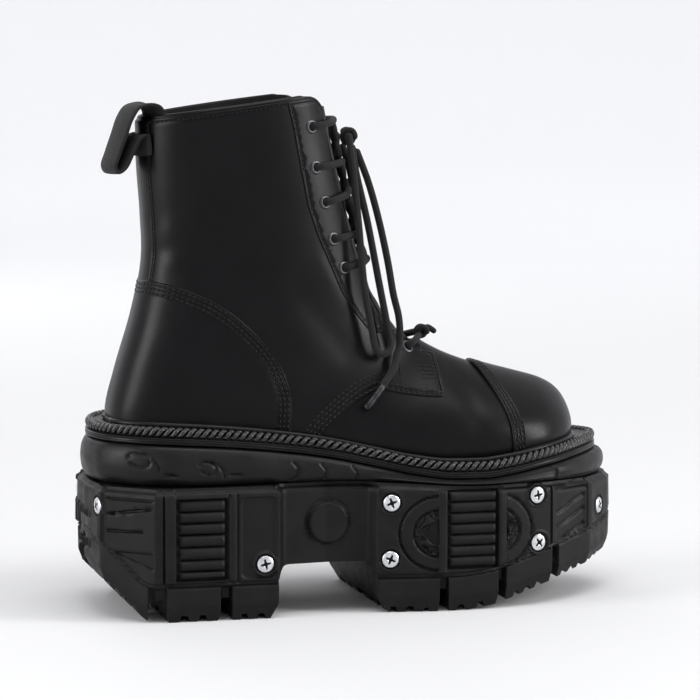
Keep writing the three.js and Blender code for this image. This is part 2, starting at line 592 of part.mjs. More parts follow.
function makeKnot() {
  const p = surf(0, 0.084, 8);
  return new THREE.SphereGeometry(1, 10, 6).scale(3.6, 7, 5).translate(p.x, p.y, p.z);
}

// ---------------------------------------------------------------- side zip on the medial side
const ZIP_LINE = [
  // x, z
  { x: -52, z: 275 }, { x: -50, z: 250 }, { x: -46, z: 220 }, { x: -41.5, z: 190 }, { x: -37, z: 160 }, { x: -33, z: 130 }, { x: -31, z: 101 },
].map(({ x, z }) => locate(x, z, 1));
const zipCurve = (() => {
  const c = new THREE.CatmullRomCurve3(ZIP_LINE.map(([u, v]) => new THREE.Vector3(v, u, 0)), false, 'centripetal');
  return (t) => { const p = c.getPoint(t); return [p.y, p.x]; };
})();
function makeZipTeeth() {
  const rings = [];
  const n = 18, half = 3, low = GAP + 0.1, high = GAP + 1.6;
  for (let i = 0; i <= n; i++) {
    const [u, v] = zipCurve(i / n), [u2, v2] = zipCurve(Math.min(1, i / n + 0.01)), [u1, v1] = zipCurve(Math.max(0, i / n - 0.01));
    const along = surf(u2, v2, 0).sub(surf(u1, v1, 0)).normalize();
    const p = surf(u, v, 0), nrm = surf(u, v, 1).sub(p).normalize();
    const w = new THREE.Vector3().crossVectors(along, nrm).normalize();
    const at = (s, o) => p.clone().addScaledVector(w, s).addScaledVector(nrm, o).toArray();
    rings.push([at(-half, low), at(half, low), at(half, high), at(-half, high)]);
  }
  return loft(rings);
}
const SLIDER_AT = 0.2;     // share of the zip's length below the collar
function sliderFrame() {
  const [u, v] = zipCurve(SLIDER_AT);
  const p = surf(u, v, GAP + 1.5 + GAP);
  return p;
}
const SLIDER = { w: 9, h: 12, t: 3 };
function makeSlider() {
  const p = sliderFrame();
  const y = p.y + 1.2;
  const body = box(p.x - SLIDER.w / 2, p.x + SLIDER.w / 2, y, y + SLIDER.t, p.z - SLIDER.h / 2, p.z + SLIDER.h / 2);
  // loop that holds the pull tab
  const loop = box(p.x - 1.3, p.x + 1.3, y + SLIDER.t - 0.5, y + SLIDER.t + 4.2, p.z - 4.5, p.z + 4.5);
  const eye = box(p.x - 3, p.x + 3, y + SLIDER.t, y + SLIDER.t + 2.9, p.z - 2.6, p.z + 3.2);
  return join(body, cut(loop, eye));
}
function makePull() {
  const p = sliderFrame();
  const y = p.y + 1.2 + SLIDER.t + 1.45, top = p.z + 1.1;
  const t = 1.6;
  const plateBox = box(p.x - 4, p.x + 4, y - t / 2, y + t / 2, top - 30, top + 1.1);
  const window1 = box(p.x - 2.4, p.x + 2.4, y - 3, y + 3, top - 9, top - 0.9);
  return cut(plateBox, window1);
}

// ---------------------------------------------------------------- screws of the outsole
const SCREWS = [
  // name, x, side, z
  { name: 'heel_side', x: -64, z: 30 }, { name: 'heel_back', x: -150.7, z: 61 },
  { name: 'fore_rear_high', x: 6.5, z: 60.5 }, { name: 'fore_rear_low', x: 6, z: 29.5 },
  { name: 'fore_front_high', x: 91, z: 61.5 }, { name: 'fore_front_low', x: 92, z: 35 },
  { name: 'toe', x: 138.5, z: 49.5 },
];
function onBlock(x, side) {
  let i = 0;
  while (i < BLOCK.length - 2 && x > BLOCK[i + 1].x) i++;
  const a = BLOCK[i], b = BLOCK[i + 1], t = (x - a.x) / (b.x - a.x);
  const y = lerp(a[side], b[side], t);
  const d = new THREE.Vector2(b.x - a.x, b[side] - a[side]).normalize();
  const n = side === 'lateral' ? new THREE.Vector3(d.y, -d.x, 0) : new THREE.Vector3(-d.y, d.x, 0);
  return { p: new THREE.Vector3(x, y, 0), n };
}
function screwAt(row, side, r, from, to, sides) {
  const { p, n } = onBlock(row.x, side);
  const g = new THREE.CylinderGeometry(r, r, to - from, sides).translate(0, (from + to) / 2, 0);
  const q = new THREE.Quaternion().setFromUnitVectors(new THREE.Vector3(0, 1, 0), n);
  return g.applyQuaternion(q).translate(p.x, p.y, row.z);
}

const bedTool = solid(plate(() => 30, (x) => weltTop(x) + GAP, [{ inset: -10, up: 0 }, { inset: -10, up: 1 }]));

const group = new THREE.Group();
const LOOKS = {
  leather: { color: 0x191a1c, roughness: 0.42, metalness: 0 },
  rubber: { color: 0x1c1c1e, roughness: 0.62, metalness: 0 },
  fabric: { color: 0x141415, roughness: 0.9, metalness: 0 },
  steel: { color: 0xc9cbd0, roughness: 0.28, metalness: 1 },
  gunmetal: { color: 0x55565a, roughness: 0.35, metalness: 1 },
};
function add(name, geometry, look) {
  const mesh = new THREE.Mesh(geometry.isBufferGeometry ? geometry : fromSolid(geometry), new THREE.MeshStandardMaterial(LOOKS[look]));
  mesh.name = name;
  group.add(mesh);
}

let outsole = makeOutsole();
for (const side of ['lateral', 'medial']) {
  for (const row of SCREWS) outsole = outsole.subtract(solid(screwAt(row, side, SCREW_R + 0.8, -1.6, 6, 8)));
  const boss = screwAt({ x: -27, z: 50 }, side, 11, -3, 2.4, 16);
  outsole = outsole.add(solid(boss));
}
add('outsole', outsole, 'rubber');
add('midsole', makeMidsole(), 'rubber');
add('welt', makeWelt(), 'rubber');
add('insole', makeInsole(), 'fabric');
add('upper', makeUpper(bedTool), 'leather');
add('tongue', makeTongue(), 'leather');
add('toe_cap', overlay([...CAP_SEAM, [200, 55], [200, 160]]), 'leather');
add('heel_counter', overlay([...COUNTER_SEAM, [-170, 55]]), 'leather');
add('pull_loop', makePullLoop(), 'fabric');
for (const [side, sign] of [['lateral', -1], ['medial', 1]]) {
  EYELETS.forEach(({ v, mm }, i) => add(`eyelet_${side}_${i + 1}`, makeEyelet(uAt(v, sign * mm), v), 'gunmetal'));
}
add('lace_bars', makeLaceBars(), 'fabric');
add('lace_knot', makeKnot(), 'fabric');
for (const [name, rows] of Object.entries(LACE_RUNS)) add(name, makeRun(rows), 'fabric');
add('zip_teeth', makeZipTeeth(), 'gunmetal');
add('zip_slider', makeSlider(), 'gunmetal');
add('zip_pull', makePull(), 'gunmetal');
for (const side of ['lateral', 'medial']) {
  for (const row of SCREWS) add(`screw_${row.name}_${side}`, screwAt(row, side, SCREW_R, -1.3, 0.9, 8), 'steel');
}

export default group;
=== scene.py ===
# %% [markdown]
# # A lace-up platform boot, built piece by piece
# The boot is a right boot with a faceted lug sole, a rolled midsole, a braided welt and a smooth
# leather upper.

# %% Tools and the part's own frame
import bpy
import json
import math
import numpy as np
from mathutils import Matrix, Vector, geometry, kdtree

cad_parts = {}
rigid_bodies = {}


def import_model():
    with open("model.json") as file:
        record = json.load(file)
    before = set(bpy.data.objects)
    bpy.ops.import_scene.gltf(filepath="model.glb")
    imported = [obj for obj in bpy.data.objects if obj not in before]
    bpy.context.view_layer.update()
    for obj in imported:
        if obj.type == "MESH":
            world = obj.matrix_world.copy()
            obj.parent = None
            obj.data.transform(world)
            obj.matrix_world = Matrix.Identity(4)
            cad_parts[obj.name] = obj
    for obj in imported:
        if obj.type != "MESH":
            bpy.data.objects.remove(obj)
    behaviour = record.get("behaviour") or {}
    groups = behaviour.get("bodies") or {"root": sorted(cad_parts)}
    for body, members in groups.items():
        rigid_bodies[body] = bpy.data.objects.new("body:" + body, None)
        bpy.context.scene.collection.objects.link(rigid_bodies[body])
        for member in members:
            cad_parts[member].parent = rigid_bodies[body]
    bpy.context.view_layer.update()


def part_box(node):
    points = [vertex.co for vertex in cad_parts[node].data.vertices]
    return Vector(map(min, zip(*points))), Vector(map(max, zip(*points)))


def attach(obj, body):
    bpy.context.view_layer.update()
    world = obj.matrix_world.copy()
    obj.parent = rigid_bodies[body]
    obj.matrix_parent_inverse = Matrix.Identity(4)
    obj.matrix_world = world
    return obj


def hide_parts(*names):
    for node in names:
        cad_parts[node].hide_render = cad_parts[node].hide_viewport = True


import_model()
MM = 0.001

# %% [markdown]
# ## Sizes of the sole
# A sole is drawn from two things: a plan outline for each layer, and the heights of the layers
# along the foot. Rows run from heel to toe. A monotone curve through the rows keeps the heights
# from wobbling between them, so the roll of the toe and the flat of the heel both stay true.

# %% Tables of the sole
SOLE_X = np.array([-156, -141, -126, -100, -75, -50, -25, 0, 20, 42, 60, 75, 103, 130, 156.0])
WELT_Z = np.array([103.5, 103.7, 103.5, 102.5, 100.5, 97.5, 93.5, 88, 83.5, 80.7, 80.5, 82, 86, 88, 88.5])
BLOCK_Z = np.array([72, 72, 72, 72, 72, 72, 72, 71.5, 70.5, 69, 68.5, 68.5, 68, 67, 66.0])
GROUND_Z = np.array([27, 13.5, 0, 0, 0, 0, 0, 0, 0, 0, 1.6, 5, 13, 19, 24.5])
OUTLINE = np.array([
    # x, outer side, inner side
    (-152, -15, 15), (-145, -31, 31), (-130, -45, 45), (-105, -53, 52), (-75, -53, 51),
    (-40, -50, 46), (-10, -51.5, 45.5), (20, -56.5, 50), (50, -59.5, 56), (78, -58, 59.5),
    (104, -50, 57), (126, -36, 47.5), (142, -19, 35), (151, -3, 21.0)])
BLOCK = np.array([
    (-154, 0, 0), (-154, -10, 10), (-150, -34, 34), (-124, -56, 55), (-56, -56.5, 53.5),
    (-52, -49, 45), (-28, -46.5, 40.5), (-5, -48.5, 43), (-1, -55, 49.5), (34, -60, 54.5),
    (67, -59.5, 60), (101, -51, 58), (129, -34, 46), (148, -11, 29), (154, 3, 15), (154, 9, 9.0)])
WELT_EDGE = 8.5      # height of the welt's edge
BRIDGE_Z = 28        # underside of the arch bridge
LUG_DEPTH = 12
WALL = 2.4           # upper: leather and lining together


def monotone(xs, ys, x):
    """Smooth curve through a table that never overshoots its rows."""
    x = np.asarray(x, float)
    i = np.clip(np.searchsorted(xs, x, side="left") - 1, 0, len(xs) - 2)
    d = np.diff(ys) / np.diff(xs)
    m = np.zeros(len(xs))
    m[0], m[-1] = d[0], d[-1]
    a, b = d[:-1], d[1:]
    with np.errstate(divide="ignore", invalid="ignore"):
        m[1:-1] = np.where(a * b > 0, 2 * a * b / (a + b), 0)
    m0 = np.where(i == 0, d[0], m[i])
    m1 = np.where(i == len(xs) - 2, d[-1], m[i + 1])
    h = (xs[i + 1] - xs[i])
    t = np.clip((x - xs[i]) / h, -0.5, 1.5)
    t2, t3 = t * t, t * t * t
    return ((2 * t3 - 3 * t2 + 1) * ys[i] + (t3 - 2 * t2 + t) * h * m0
            + (-2 * t3 + 3 * t2) * ys[i + 1] + (t3 - t2) * h * m1)


def welt_top(x):
    return monotone(SOLE_X, WELT_Z, x)


def block_top(x):
    return monotone(SOLE_X, BLOCK_Z, x)


def ground(x):
    return monotone(SOLE_X, GROUND_Z, x)


print("welt at heel, ball, toe:", np.round(welt_top([-130, 55, 140]), 1))

# %% [markdown]
# ## The last
# The last is the foot-shaped form that a boot is made on. Here it is a fan of sections, turned
# from the level collar round the ankle to the upright toe. Each section has a front point, a back
# point, a width to either side and a roundness, and a smooth curve runs from section to section.
# Every leather piece is then placed by two numbers, u round a section and v along the fan.

# %% Sections of the last
SECTIONS = np.array([
    # front x, z, back x, z, outer, inner, low, soft, middle
    (-17, 282.5, -121.5, 268, 37.5, 37.5, 1.0, .85, 0), (-13, 262, -121, 243, 36.5, 36.5, 1.0, .85, 0),
    (-7, 236, -119, 216, 36, 35.5, 1.0, .82, 0), (0, 209, -118.5, 190, 35.5, 35.5, .98, .8, 0),
    (7, 187, -124, 161, 36, 36, .95, .76, 0), (14, 170, -133, 130, 37, 36.5, .92, .7, 0),
    (22, 158, -138, 105, 38, 37, .9, .66, 0), (30, 150, -131, 83, 38.5, 37, .86, .62, 0),
    (38, 144, -96, 79, 38.5, 36.5, .8, .6, 0), (47, 139, -50, 77, 40, 36.5, .74, .58, 0),
    (56, 135, -6, 71, 44, 39, .7, .56, 0), (69, 130.5, 34, 65, 47.5, 44, .66, .54, .5),
    (85, 126, 70, 66, 47.5, 46, .64, .54, 2), (101, 122, 96, 71, 43.5, 44, .62, .54, 3.5),
    (114, 119.5, 115, 75, 37, 39.5, .62, .54, 5.5), (127.8, 117.5, 127.8, 77, 31, 34, .62, .54, 8)])
TOE_ROUND_FROM, TOE_CLOSE_Z = 0.7, 95
CREST = 0.003        # softens the line along the top of the foot


def smooth(t):
    """Soft step from 0 to 1 as t goes from 0 to 1."""
    t = np.clip(t, 0, 1)
    return t * t * (3 - 2 * t)


def unit(t):
    """Vectors of length 1, one a row."""
    return t / np.maximum(np.linalg.norm(t, axis=-1, keepdims=True), 1e-9)


def run_of(points):
    """Distance along a polyline at each of its points."""
    return np.concatenate([[0], np.cumsum(np.linalg.norm(np.diff(points, axis=0), axis=1))])


def at_run(s, run, rows):
    """Rows read off at distances s, given the distance of each row."""
    return np.stack([np.interp(s, run, column) for column in np.asarray(rows).T], -1)


def around(count):
    """Even angles round a circle."""
    return np.arange(count) / count * 2 * math.pi


def section(v):
    """The nine numbers of the section at v, 0 at the collar and 1 at the toe."""
    n = len(SECTIONS) - 1
    padded = np.vstack([2 * SECTIONS[0] - SECTIONS[1], SECTIONS, 2 * SECTIONS[-1] - SECTIONS[-2]])
    s = np.asarray(v, float) * n
    i = np.clip(np.floor(s).astype(int), 0, n - 1)
    t = (s - i)[..., None]
    p0, p1, p2, p3 = padded[i], padded[i + 1], padded[i + 2], padded[i + 3]
    row = 0.5 * (2 * p1 + (p2 - p0) * t + (2 * p0 - 5 * p1 + 4 * p2 - p3) * t ** 2
                 + (3 * p1 - p0 - 3 * p2 + p3) * t ** 3)
    c = np.clip((np.asarray(v, float) - TOE_ROUND_FROM) / (1 - TOE_ROUND_FROM), 0, 1)
    close = np.sqrt(np.maximum(0, 1 - c ** 5))
    row = np.moveaxis(row.copy(), -1, 0)
    row[4] *= close
    row[5] *= close
    row[1] = TOE_CLOSE_Z + (row[1] - TOE_CLOSE_Z) * (0.15 * close + 0.85 * np.sqrt(np.maximum(0, 1 - c ** 7)))
    row[3] = TOE_CLOSE_Z + (row[3] - TOE_CLOSE_Z) * close
    return row


def skin(u, v):
    """Point of the last; u is 0 at the front, 0.25 outer side, 0.5 back or bottom, 0.75 inner side."""
    u, v = np.broadcast_arrays(np.asarray(u, float), np.asarray(v, float))
    fx, fz, bx, bz, lateral, medial, low, soft, mid = section(v)
    w = u % 1.0
    side = np.where(w <= 0.5, -lateral, medial)
    a = np.where(w <= 0.5, w, 1 - w) * 2 * math.pi
    share = (1 - np.cos(a)) / 2
    along = ((share + CREST) ** low - CREST ** low) / ((1 + CREST) ** low - CREST ** low)
    sine = np.maximum(0, np.sin(a))
    bulge = np.where(a < math.pi / 2, sine ** 0.95, sine ** soft)
    return np.stack([fx + (bx - fx) * along, mid + side * bulge, fz + (bz - fz) * along], -1)


def normal(u, v):
    """Outward direction of the last at (u, v)."""
    u, v = np.broadcast_arrays(np.asarray(u, float), np.asarray(v, float))
    v1 = np.where(v > 1 - 3e-3, 1 - 3e-3, v)
    du = skin(u + 0.004, v1) - skin(u - 0.004, v1)
    dv = skin(u, v1 + 1e-3) - skin(u, v1 - 1e-3)
    return unit(np.cross(du, dv))


def surf(u, v, off=0.0):
    """The same point moved off the last along its own normal, in mm."""
    return skin(u, v) + normal(u, v) * np.asarray(off, float)[..., None]


ROUND_STEPS = np.linspace(0, 0.5, 126)


def u_at(v, mm):
    """u at a distance round the section from the front line; negative is the outer side."""
    v, mm = np.broadcast_arrays(np.asarray(v, float), np.asarray(mm, float))
    out = np.zeros(v.size)
    for k, (vk, d) in enumerate(zip(v.ravel(), mm.ravel())):
        sign = 1 if d < 0 else -1
        out[k] = sign * np.interp(abs(d), run_of(skin(sign * ROUND_STEPS, vk)), ROUND_STEPS)
    return out.reshape(v.shape)


CHART_U, CHART_V = np.meshgrid(np.linspace(0.004, 0.496, 120), np.linspace(-0.02, 0.99, 200), indexing="ij")
CHART = {-1: skin(CHART_U, CHART_V), 1: skin(-CHART_U, CHART_V)}


def locate(points, side):
    """(u, v) of places given by x and z on one side: -1 outer, 1 inner."""
    out = []
    grid = CHART[side]
    for x, z in np.atleast_2d(points):
        e = (grid[..., 0] - x) ** 2 + (grid[..., 2] - z) ** 2
        i = np.unravel_index(np.argmin(e), e.shape)
        u, v = CHART_U[i], CHART_V[i]
        for _ in range(10):
            h = 1e-4
            p, a, b = skin(-side * u, v), skin(-side * (u + h), v), skin(-side * u, v + h)
            ax, az, bx, bz = (a[0] - p[0]) / h, (a[2] - p[2]) / h, (b[0] - p[0]) / h, (b[2] - p[2]) / h
            det = ax * bz - bx * az
            if abs(det) < 1e-9:
                break
            ex, ez = x - p[0], z - p[2]
            u = min(max(u + (ex * bz - bx * ez) / det, 0.001), 0.499)
            v = min(max(v + (ax * ez - ex * az) / det, -0.05), 0.99)
        out.append((-side * u, v))
    return np.array(out)


print("instep point", np.round(skin(0.0, 0.5), 1), "toe", np.round(skin(0.0, 0.999), 1))

# %% [markdown]
# ## Small helpers
# Most pieces are grids of points, so one helper turns points and faces into a mesh in metres and
# gives it a body to ride on and a finish. Working with whole arrays of points keeps
# the script quick even where a piece has many thousands of faces.

# %% Mesh helpers
MATERIALS = {}


def make_piece(name, points, faces, material, slot=None, body="boot", sharp=35, uv=None, replaces=()):
    """Mesh object from points in mm and faces, with its finish, body and replaced nodes; slot is not used."""
    mesh = bpy.data.meshes.new(name)
    points = np.asarray(points, float).reshape(-1, 3)
    if isinstance(faces, np.ndarray):
        faces = faces.tolist()
    mesh.from_pydata((points * MM).tolist(), [], faces)
    mesh.validate()
    if uv is not None:
        layer = mesh.uv_layers.new(name="UVMap")
        index = np.zeros(len(mesh.loops), np.int32)
        mesh.loops.foreach_get("vertex_index", index)
        layer.data.foreach_set("uv", np.asarray(uv, float)[index].ravel())
    mesh.shade_smooth()
    if sharp:
        mesh.set_sharp_from_angle(angle=math.radians(sharp))
    piece = bpy.data.objects.new(name, mesh)
    bpy.context.scene.collection.objects.link(piece)
    mesh.materials.append(MATERIALS[material])
    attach(piece, body)
    if replaces:
        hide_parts(*replaces)
    return piece


def grid_faces(rows, cols, close_cols=False, close_rows=False, flip=False):
    """Quads of a grid of points, wrapped round where a direction is closed."""
    r = np.arange(rows if close_rows else rows - 1)
    c = np.arange(cols if close_cols else cols - 1)
    rr, cc = np.meshgrid(r, c, indexing="ij")
    r1, c1 = (rr + 1) % rows, (cc + 1) % cols
    quads = np.stack([rr * cols + cc, rr * cols + c1, r1 * cols + c1, r1 * cols + cc], -1).reshape(-1, 4)
    return quads[:, ::-1] if flip else quads


def capped_faces(rows, count, flip=False):
    """Faces of a tube of rings, with a lid at both ends."""
    lids = [list(range(count)), [(rows - 1) * count + k for k in range(count)]]
    lids[1 if flip else 0].reverse()
    return grid_faces(rows, count, close_cols=True).tolist() + lids


def clean(points, faces, tol=1e-4):
    """Drop the corners of a face that fall on each other, and faces left with no area."""
    points = np.asarray(points).reshape(-1, 3)
    key = np.round(points / tol).astype(np.int64)
    _, first, inverse = np.unique(key, axis=0, return_index=True, return_inverse=True)
    inverse = inverse.ravel()
    faces = inverse[np.asarray(faces)]
    kept = []
    for f in faces.tolist():
        g = [a for k, a in enumerate(f) if a != f[k - 1]]
        if len(g) > 2 and len(set(g)) == len(g):
            kept.append(g)
    return points[first], kept


def join_parts(parts):
    """Many (points, faces) pairs as one."""
    points, faces, start = [], [], 0
    for p, f in parts:
        p = np.asarray(p).reshape(-1, 3)
        points.append(p)
        faces += [[a + start for a in g] for g in (f.tolist() if isinstance(f, np.ndarray) else f)]
        start += len(p)
    return np.vstack(points), faces


def resample(points, step=None, count=None, closed=False):
    """Evenly spaced points along a polyline. Its first three columns are its place."""
    points = np.asarray(points, float)
    if closed:
        points = np.vstack([points, points[:1]])
    run = run_of(points[:, :3])
    n = count or max(2, int(round(run[-1] / step)) + 1)
    out = at_run(np.linspace(0, run[-1], n), run, points)
    return out[:-1] if closed else out


def catmull(points, per=8, closed=False):
    """Centripetal Catmull-Rom curve through points of two or three numbers, as a dense polyline."""
    p = np.asarray(points, float)
    n = len(p)
    out = []
    spans = n if closed else n - 1
    for i in range(spans):
        if closed:
            q = [p[(i + k - 1) % n] for k in range(4)]
        else:
            q = [p[i - 1] if i else 2 * p[0] - p[1], p[i], p[i + 1],
                 p[i + 2] if i + 2 < n else 2 * p[-1] - p[-2]]
        d = [max(np.linalg.norm(q[k + 1] - q[k]) ** 0.5, 1e-4) for k in range(3)]
        m1 = (q[1] - q[0]) / d[0] - (q[2] - q[0]) / (d[0] + d[1]) + (q[2] - q[1]) / d[1]
        m2 = (q[2] - q[1]) / d[1] - (q[3] - q[1]) / (d[1] + d[2]) + (q[3] - q[2]) / d[2]
        m1, m2 = m1 * d[1], m2 * d[1]
        for t in np.arange(per) / per:
            out.append((2 * t ** 3 - 3 * t ** 2 + 1) * q[1] + (t ** 3 - 2 * t ** 2 + t) * m1
                       + (-2 * t ** 3 + 3 * t ** 2) * q[2] + (t ** 3 - t ** 2) * m2)
    if not closed:
        out.append(p[-1])
    return np.array(out)


def tube(points, radius, sides=10, round_ends=True):
    """Round tube along points with a steady twist; gives points, faces and UVs in mm."""
    p = np.asarray(points, float)
    t = unit(np.gradient(p, axis=0))
    r = np.full(len(p), float(radius)) if np.isscalar(radius) else np.asarray(radius, float)
    side = np.cross(t[0], [0.3, 0.2, 0.93])
    side /= np.linalg.norm(side)
    sides_at = []
    for k in range(len(p)):
        side = side - t[k] * np.dot(side, t[k])
        side /= np.linalg.norm(side)
        sides_at.append(side.copy())
    s1 = np.array(sides_at)
    s2 = np.cross(t, s1)
    if round_ends:
        caps = [(0, -0.95, 0.3), (0, -0.75, 0.66), (0, -0.35, 0.93)]
        head = [(p[0] + t[0] * r[0] * c, s1[0], s2[0], r[0] * k) for _, c, k in caps]
        tail = [(p[-1] - t[-1] * r[-1] * c, s1[-1], s2[-1], r[-1] * k) for _, c, k in caps[::-1]]
        rows = head + list(zip(p, s1, s2, r)) + tail
    else:
        rows = list(zip(p, s1, s2, r))
    a = around(sides)
    rings = [c + rr * (np.cos(a)[:, None] * x + np.sin(a)[:, None] * y) for c, x, y, rr in rows]
    run = run_of(np.array([row[0] for row in rows]))
    uv = np.stack([np.repeat(run, sides), np.tile(a * r.mean(), len(rows))], 1)
    return np.vstack(rings), capped_faces(len(rows), sides), uv


print("helpers ready")

# %% [markdown]
# ## Camera, floor and light
# The camera looks at the outer side from a little towards the heel and a little above. A long lens
# from about 1.6 m keeps the sole's edges nearly parallel. The floor is a wide pale disc that rises
# far away, so no horizon line shows from any side. Big soft lamps draw the long gentle highlights
# that tell smooth leather from rubber.

# %% Camera
AZIMUTH, ELEVATION, DISTANCE = math.radians(-15.5), math.radians(6.0), 1.615
AIM = Vector((-0.002, 0.0, 0.1385))
ROLL_OF_CAMERA = math.radians(0.3)
LENS, SENSOR = 149, 36
back = Vector((math.sin(AZIMUTH) * math.cos(ELEVATION), -math.cos(AZIMUTH) * math.cos(ELEVATION),
               math.sin(ELEVATION)))
camera_data = bpy.data.cameras.new("camera")
camera_data.lens, camera_data.sensor_width = LENS, SENSOR
camera_data.clip_start, camera_data.clip_end = 0.05, 50
camera = bpy.data.objects.new("camera", camera_data)
bpy.context.scene.collection.objects.link(camera)
camera.location = AIM + back * DISTANCE
camera.rotation_euler = (-back).to_track_quat("-Z", "Y").to_euler()
camera.rotation_euler.rotate_axis("Z", ROLL_OF_CAMERA)
bpy.context.scene.camera = camera
bpy.context.scene.view_settings.view_transform = "Standard"
print("camera at", tuple(round(c, 3) for c in camera.location))

# %% Floor and lamps
FLOOR_RINGS = [(0, 0), (0.3, 0), (0.8, 0), (1.6, 0), (2.6, 0), (3.6, 0.1), (4.6, 0.45), (5.6, 1.1),
               (6.6, 2.2), (7.4, 3.6), (8.0, 5.4)]     # radius and rise in m
FLOOR_SIDES = 96
FLOOR_NEAR, FLOOR_FAR, FLOOR_GLOW = (0.56, 0.56, 0.565, 1), (0.93, 0.93, 0.94, 1), 0.13
FADE_FROM, FADE_TO = 0.3, 3.4                          # where the near tone starts to turn and ends
turns = around(FLOOR_SIDES)
floor_points = np.vstack([np.stack([r * np.cos(turns), r * np.sin(turns), np.full(FLOOR_SIDES, z)], 1)
                          for r, z in FLOOR_RINGS])
floor_mesh = bpy.data.meshes.new("floor")
floor_mesh.from_pydata(floor_points.tolist(), [],
                       grid_faces(len(FLOOR_RINGS), FLOOR_SIDES, close_cols=True).tolist())
floor_mesh.validate()
floor_mesh.shade_smooth()
floor = bpy.data.objects.new("floor", floor_mesh)
bpy.context.scene.collection.objects.link(floor)
floor_material = bpy.data.materials.new("studio_floor")
floor_material.use_nodes = True
floor_tree = floor_material.node_tree
floor_shader = floor_tree.nodes["Principled BSDF"]
floor_shader.inputs["Roughness"].default_value = 0.8
floor_shader.inputs["Specular IOR Level"].default_value = 0.2
floor_shader.inputs["Emission Color"].default_value = (0.96, 0.965, 1, 1)
floor_place = floor_tree.nodes.new("ShaderNodeTexCoord")
floor_far = floor_tree.nodes.new("ShaderNodeVectorMath")
floor_far.operation = "LENGTH"
floor_share = floor_tree.nodes.new("ShaderNodeMapRange")
floor_share.interpolation_type = "SMOOTHSTEP"
floor_share.inputs["From Min"].default_value = FADE_FROM
floor_share.inputs["From Max"].default_value = FADE_TO
floor_mix = floor_tree.nodes.new("ShaderNodeMix")
floor_mix.data_type = "RGBA"
floor_mix.inputs[6].default_value, floor_mix.inputs[7].default_value = FLOOR_NEAR, FLOOR_FAR
floor_glow = floor_tree.nodes.new("ShaderNodeMath")
floor_glow.operation = "MULTIPLY"
floor_glow.inputs[1].default_value = FLOOR_GLOW
floor_tree.links.new(floor_place.outputs["Object"], floor_far.inputs[0])
floor_tree.links.new(floor_far.outputs["Value"], floor_share.inputs["Value"])
floor_tree.links.new(floor_share.outputs["Result"], floor_mix.inputs[0])
floor_tree.links.new(floor_share.outputs["Result"], floor_glow.inputs[0])
floor_tree.links.new(floor_mix.outputs[2], floor_shader.inputs["Base Color"])
floor_tree.links.new(floor_glow.outputs["Value"], floor_shader.inputs["Emission Strength"])
floor_mesh.materials.append(floor_material)

world = bpy.data.worlds.new("studio")
world.use_nodes = True
world.node_tree.nodes["Background"].inputs["Color"].default_value = (0.93, 0.935, 0.95, 1)
world.node_tree.nodes["Background"].inputs["Strength"].default_value = 0.72
bpy.context.scene.world = world
LIT_POINT = Vector((0, 0, 0.12))


def lamp(name, place, size, power):
    """Soft rectangular lamp that faces the middle of the boot."""
    data = bpy.data.lights.new(name, "AREA")
    data.shape, data.size, data.size_y = "RECTANGLE", size[0], size[1]
    data.energy = power
    obj = bpy.data.objects.new(name, data)
    bpy.context.scene.collection.objects.link(obj)
    obj.location = place
    obj.rotation_euler = (Vector(place) - LIT_POINT).to_track_quat("Z", "Y").to_euler()


lamp("strip_left", (-2.1, -0.3, 0.8), (0.8, 1.5), 34)
lamp("top", (0.15, -0.5, 2.1), (1.8, 0.9), 27)
lamp("strip_right", (1.9, -0.9, 0.9), (0.55, 1.4), 40)
lamp("rear", (-0.4, 1.9, 1.3), (1.2, 1.0), 8)

# %% [markdown]
# ## Finishes
# Every finish starts from the same shader and differs in three things: how dark it is, how sharp
# its highlight is, and the fine relief that breaks the highlight up. Relief much smaller than a
# millimetre is bump; anything larger is modelled. Sizes inside the materials are in millimetres,
# because the texture coordinate is scaled by a thousand.

# %% Finish helper
def finish_of(name, colour, rough, metallic=0.0, specular=0.5, sheen=0.0):
    material = bpy.data.materials.new(name)
    material.use_nodes = True
    tree = material.node_tree
    shader = tree.nodes["Principled BSDF"]
    shader.inputs["Base Color"].default_value = (*colour, 1)
    shader.inputs["Roughness"].default_value = rough
    shader.inputs["Metallic"].default_value = metallic
    shader.inputs["Specular IOR Level"].default_value = specular
    shader.inputs["Sheen Weight"].default_value = sheen
    MATERIALS[name] = material
    return tree, shader


def node(tree, kind, **settings):
    """New shader node; each setting is an input socket's value or a property."""
    n = tree.nodes.new(kind)
    for key, value in settings.items():
        if key in n.inputs:
            n.inputs[key].default_value = value
        else:
            setattr(n, key, value)
    return n


def in_mm(tree, output="Object"):
    """Texture coordinates in mm; the UV maps are laid out in mm already."""
    source = node(tree, "ShaderNodeTexCoord")
    scale = node(tree, "ShaderNodeMapping")
    scale.inputs["Scale"].default_value = (1000, 1000, 1000) if output == "Object" else (1, 1, 1)
    tree.links.new(source.outputs[output], scale.inputs["Vector"])
    return scale.outputs["Vector"]


def noise(tree, where, size, detail=3.0, rough=0.5):
    """Noise pattern from 0 to 1 with blotches of about that size."""
    n = node(tree, "ShaderNodeTexNoise", Scale=1.0 / size, Detail=detail, Roughness=rough)
    tree.links.new(where, n.inputs["Vector"])
    return n.outputs["Fac"]


def spread(tree, value, low, high, span=(0.3, 0.7)):
    """Turn a 0 to 1 pattern into a number between low and high."""
    m = node(tree, "ShaderNodeMapRange")
    m.inputs["From Min"].default_value, m.inputs["From Max"].default_value = span
    m.inputs["To Min"].default_value, m.inputs["To Max"].default_value = low, high
    tree.links.new(value, m.inputs["Value"])
    return m.outputs["Result"]


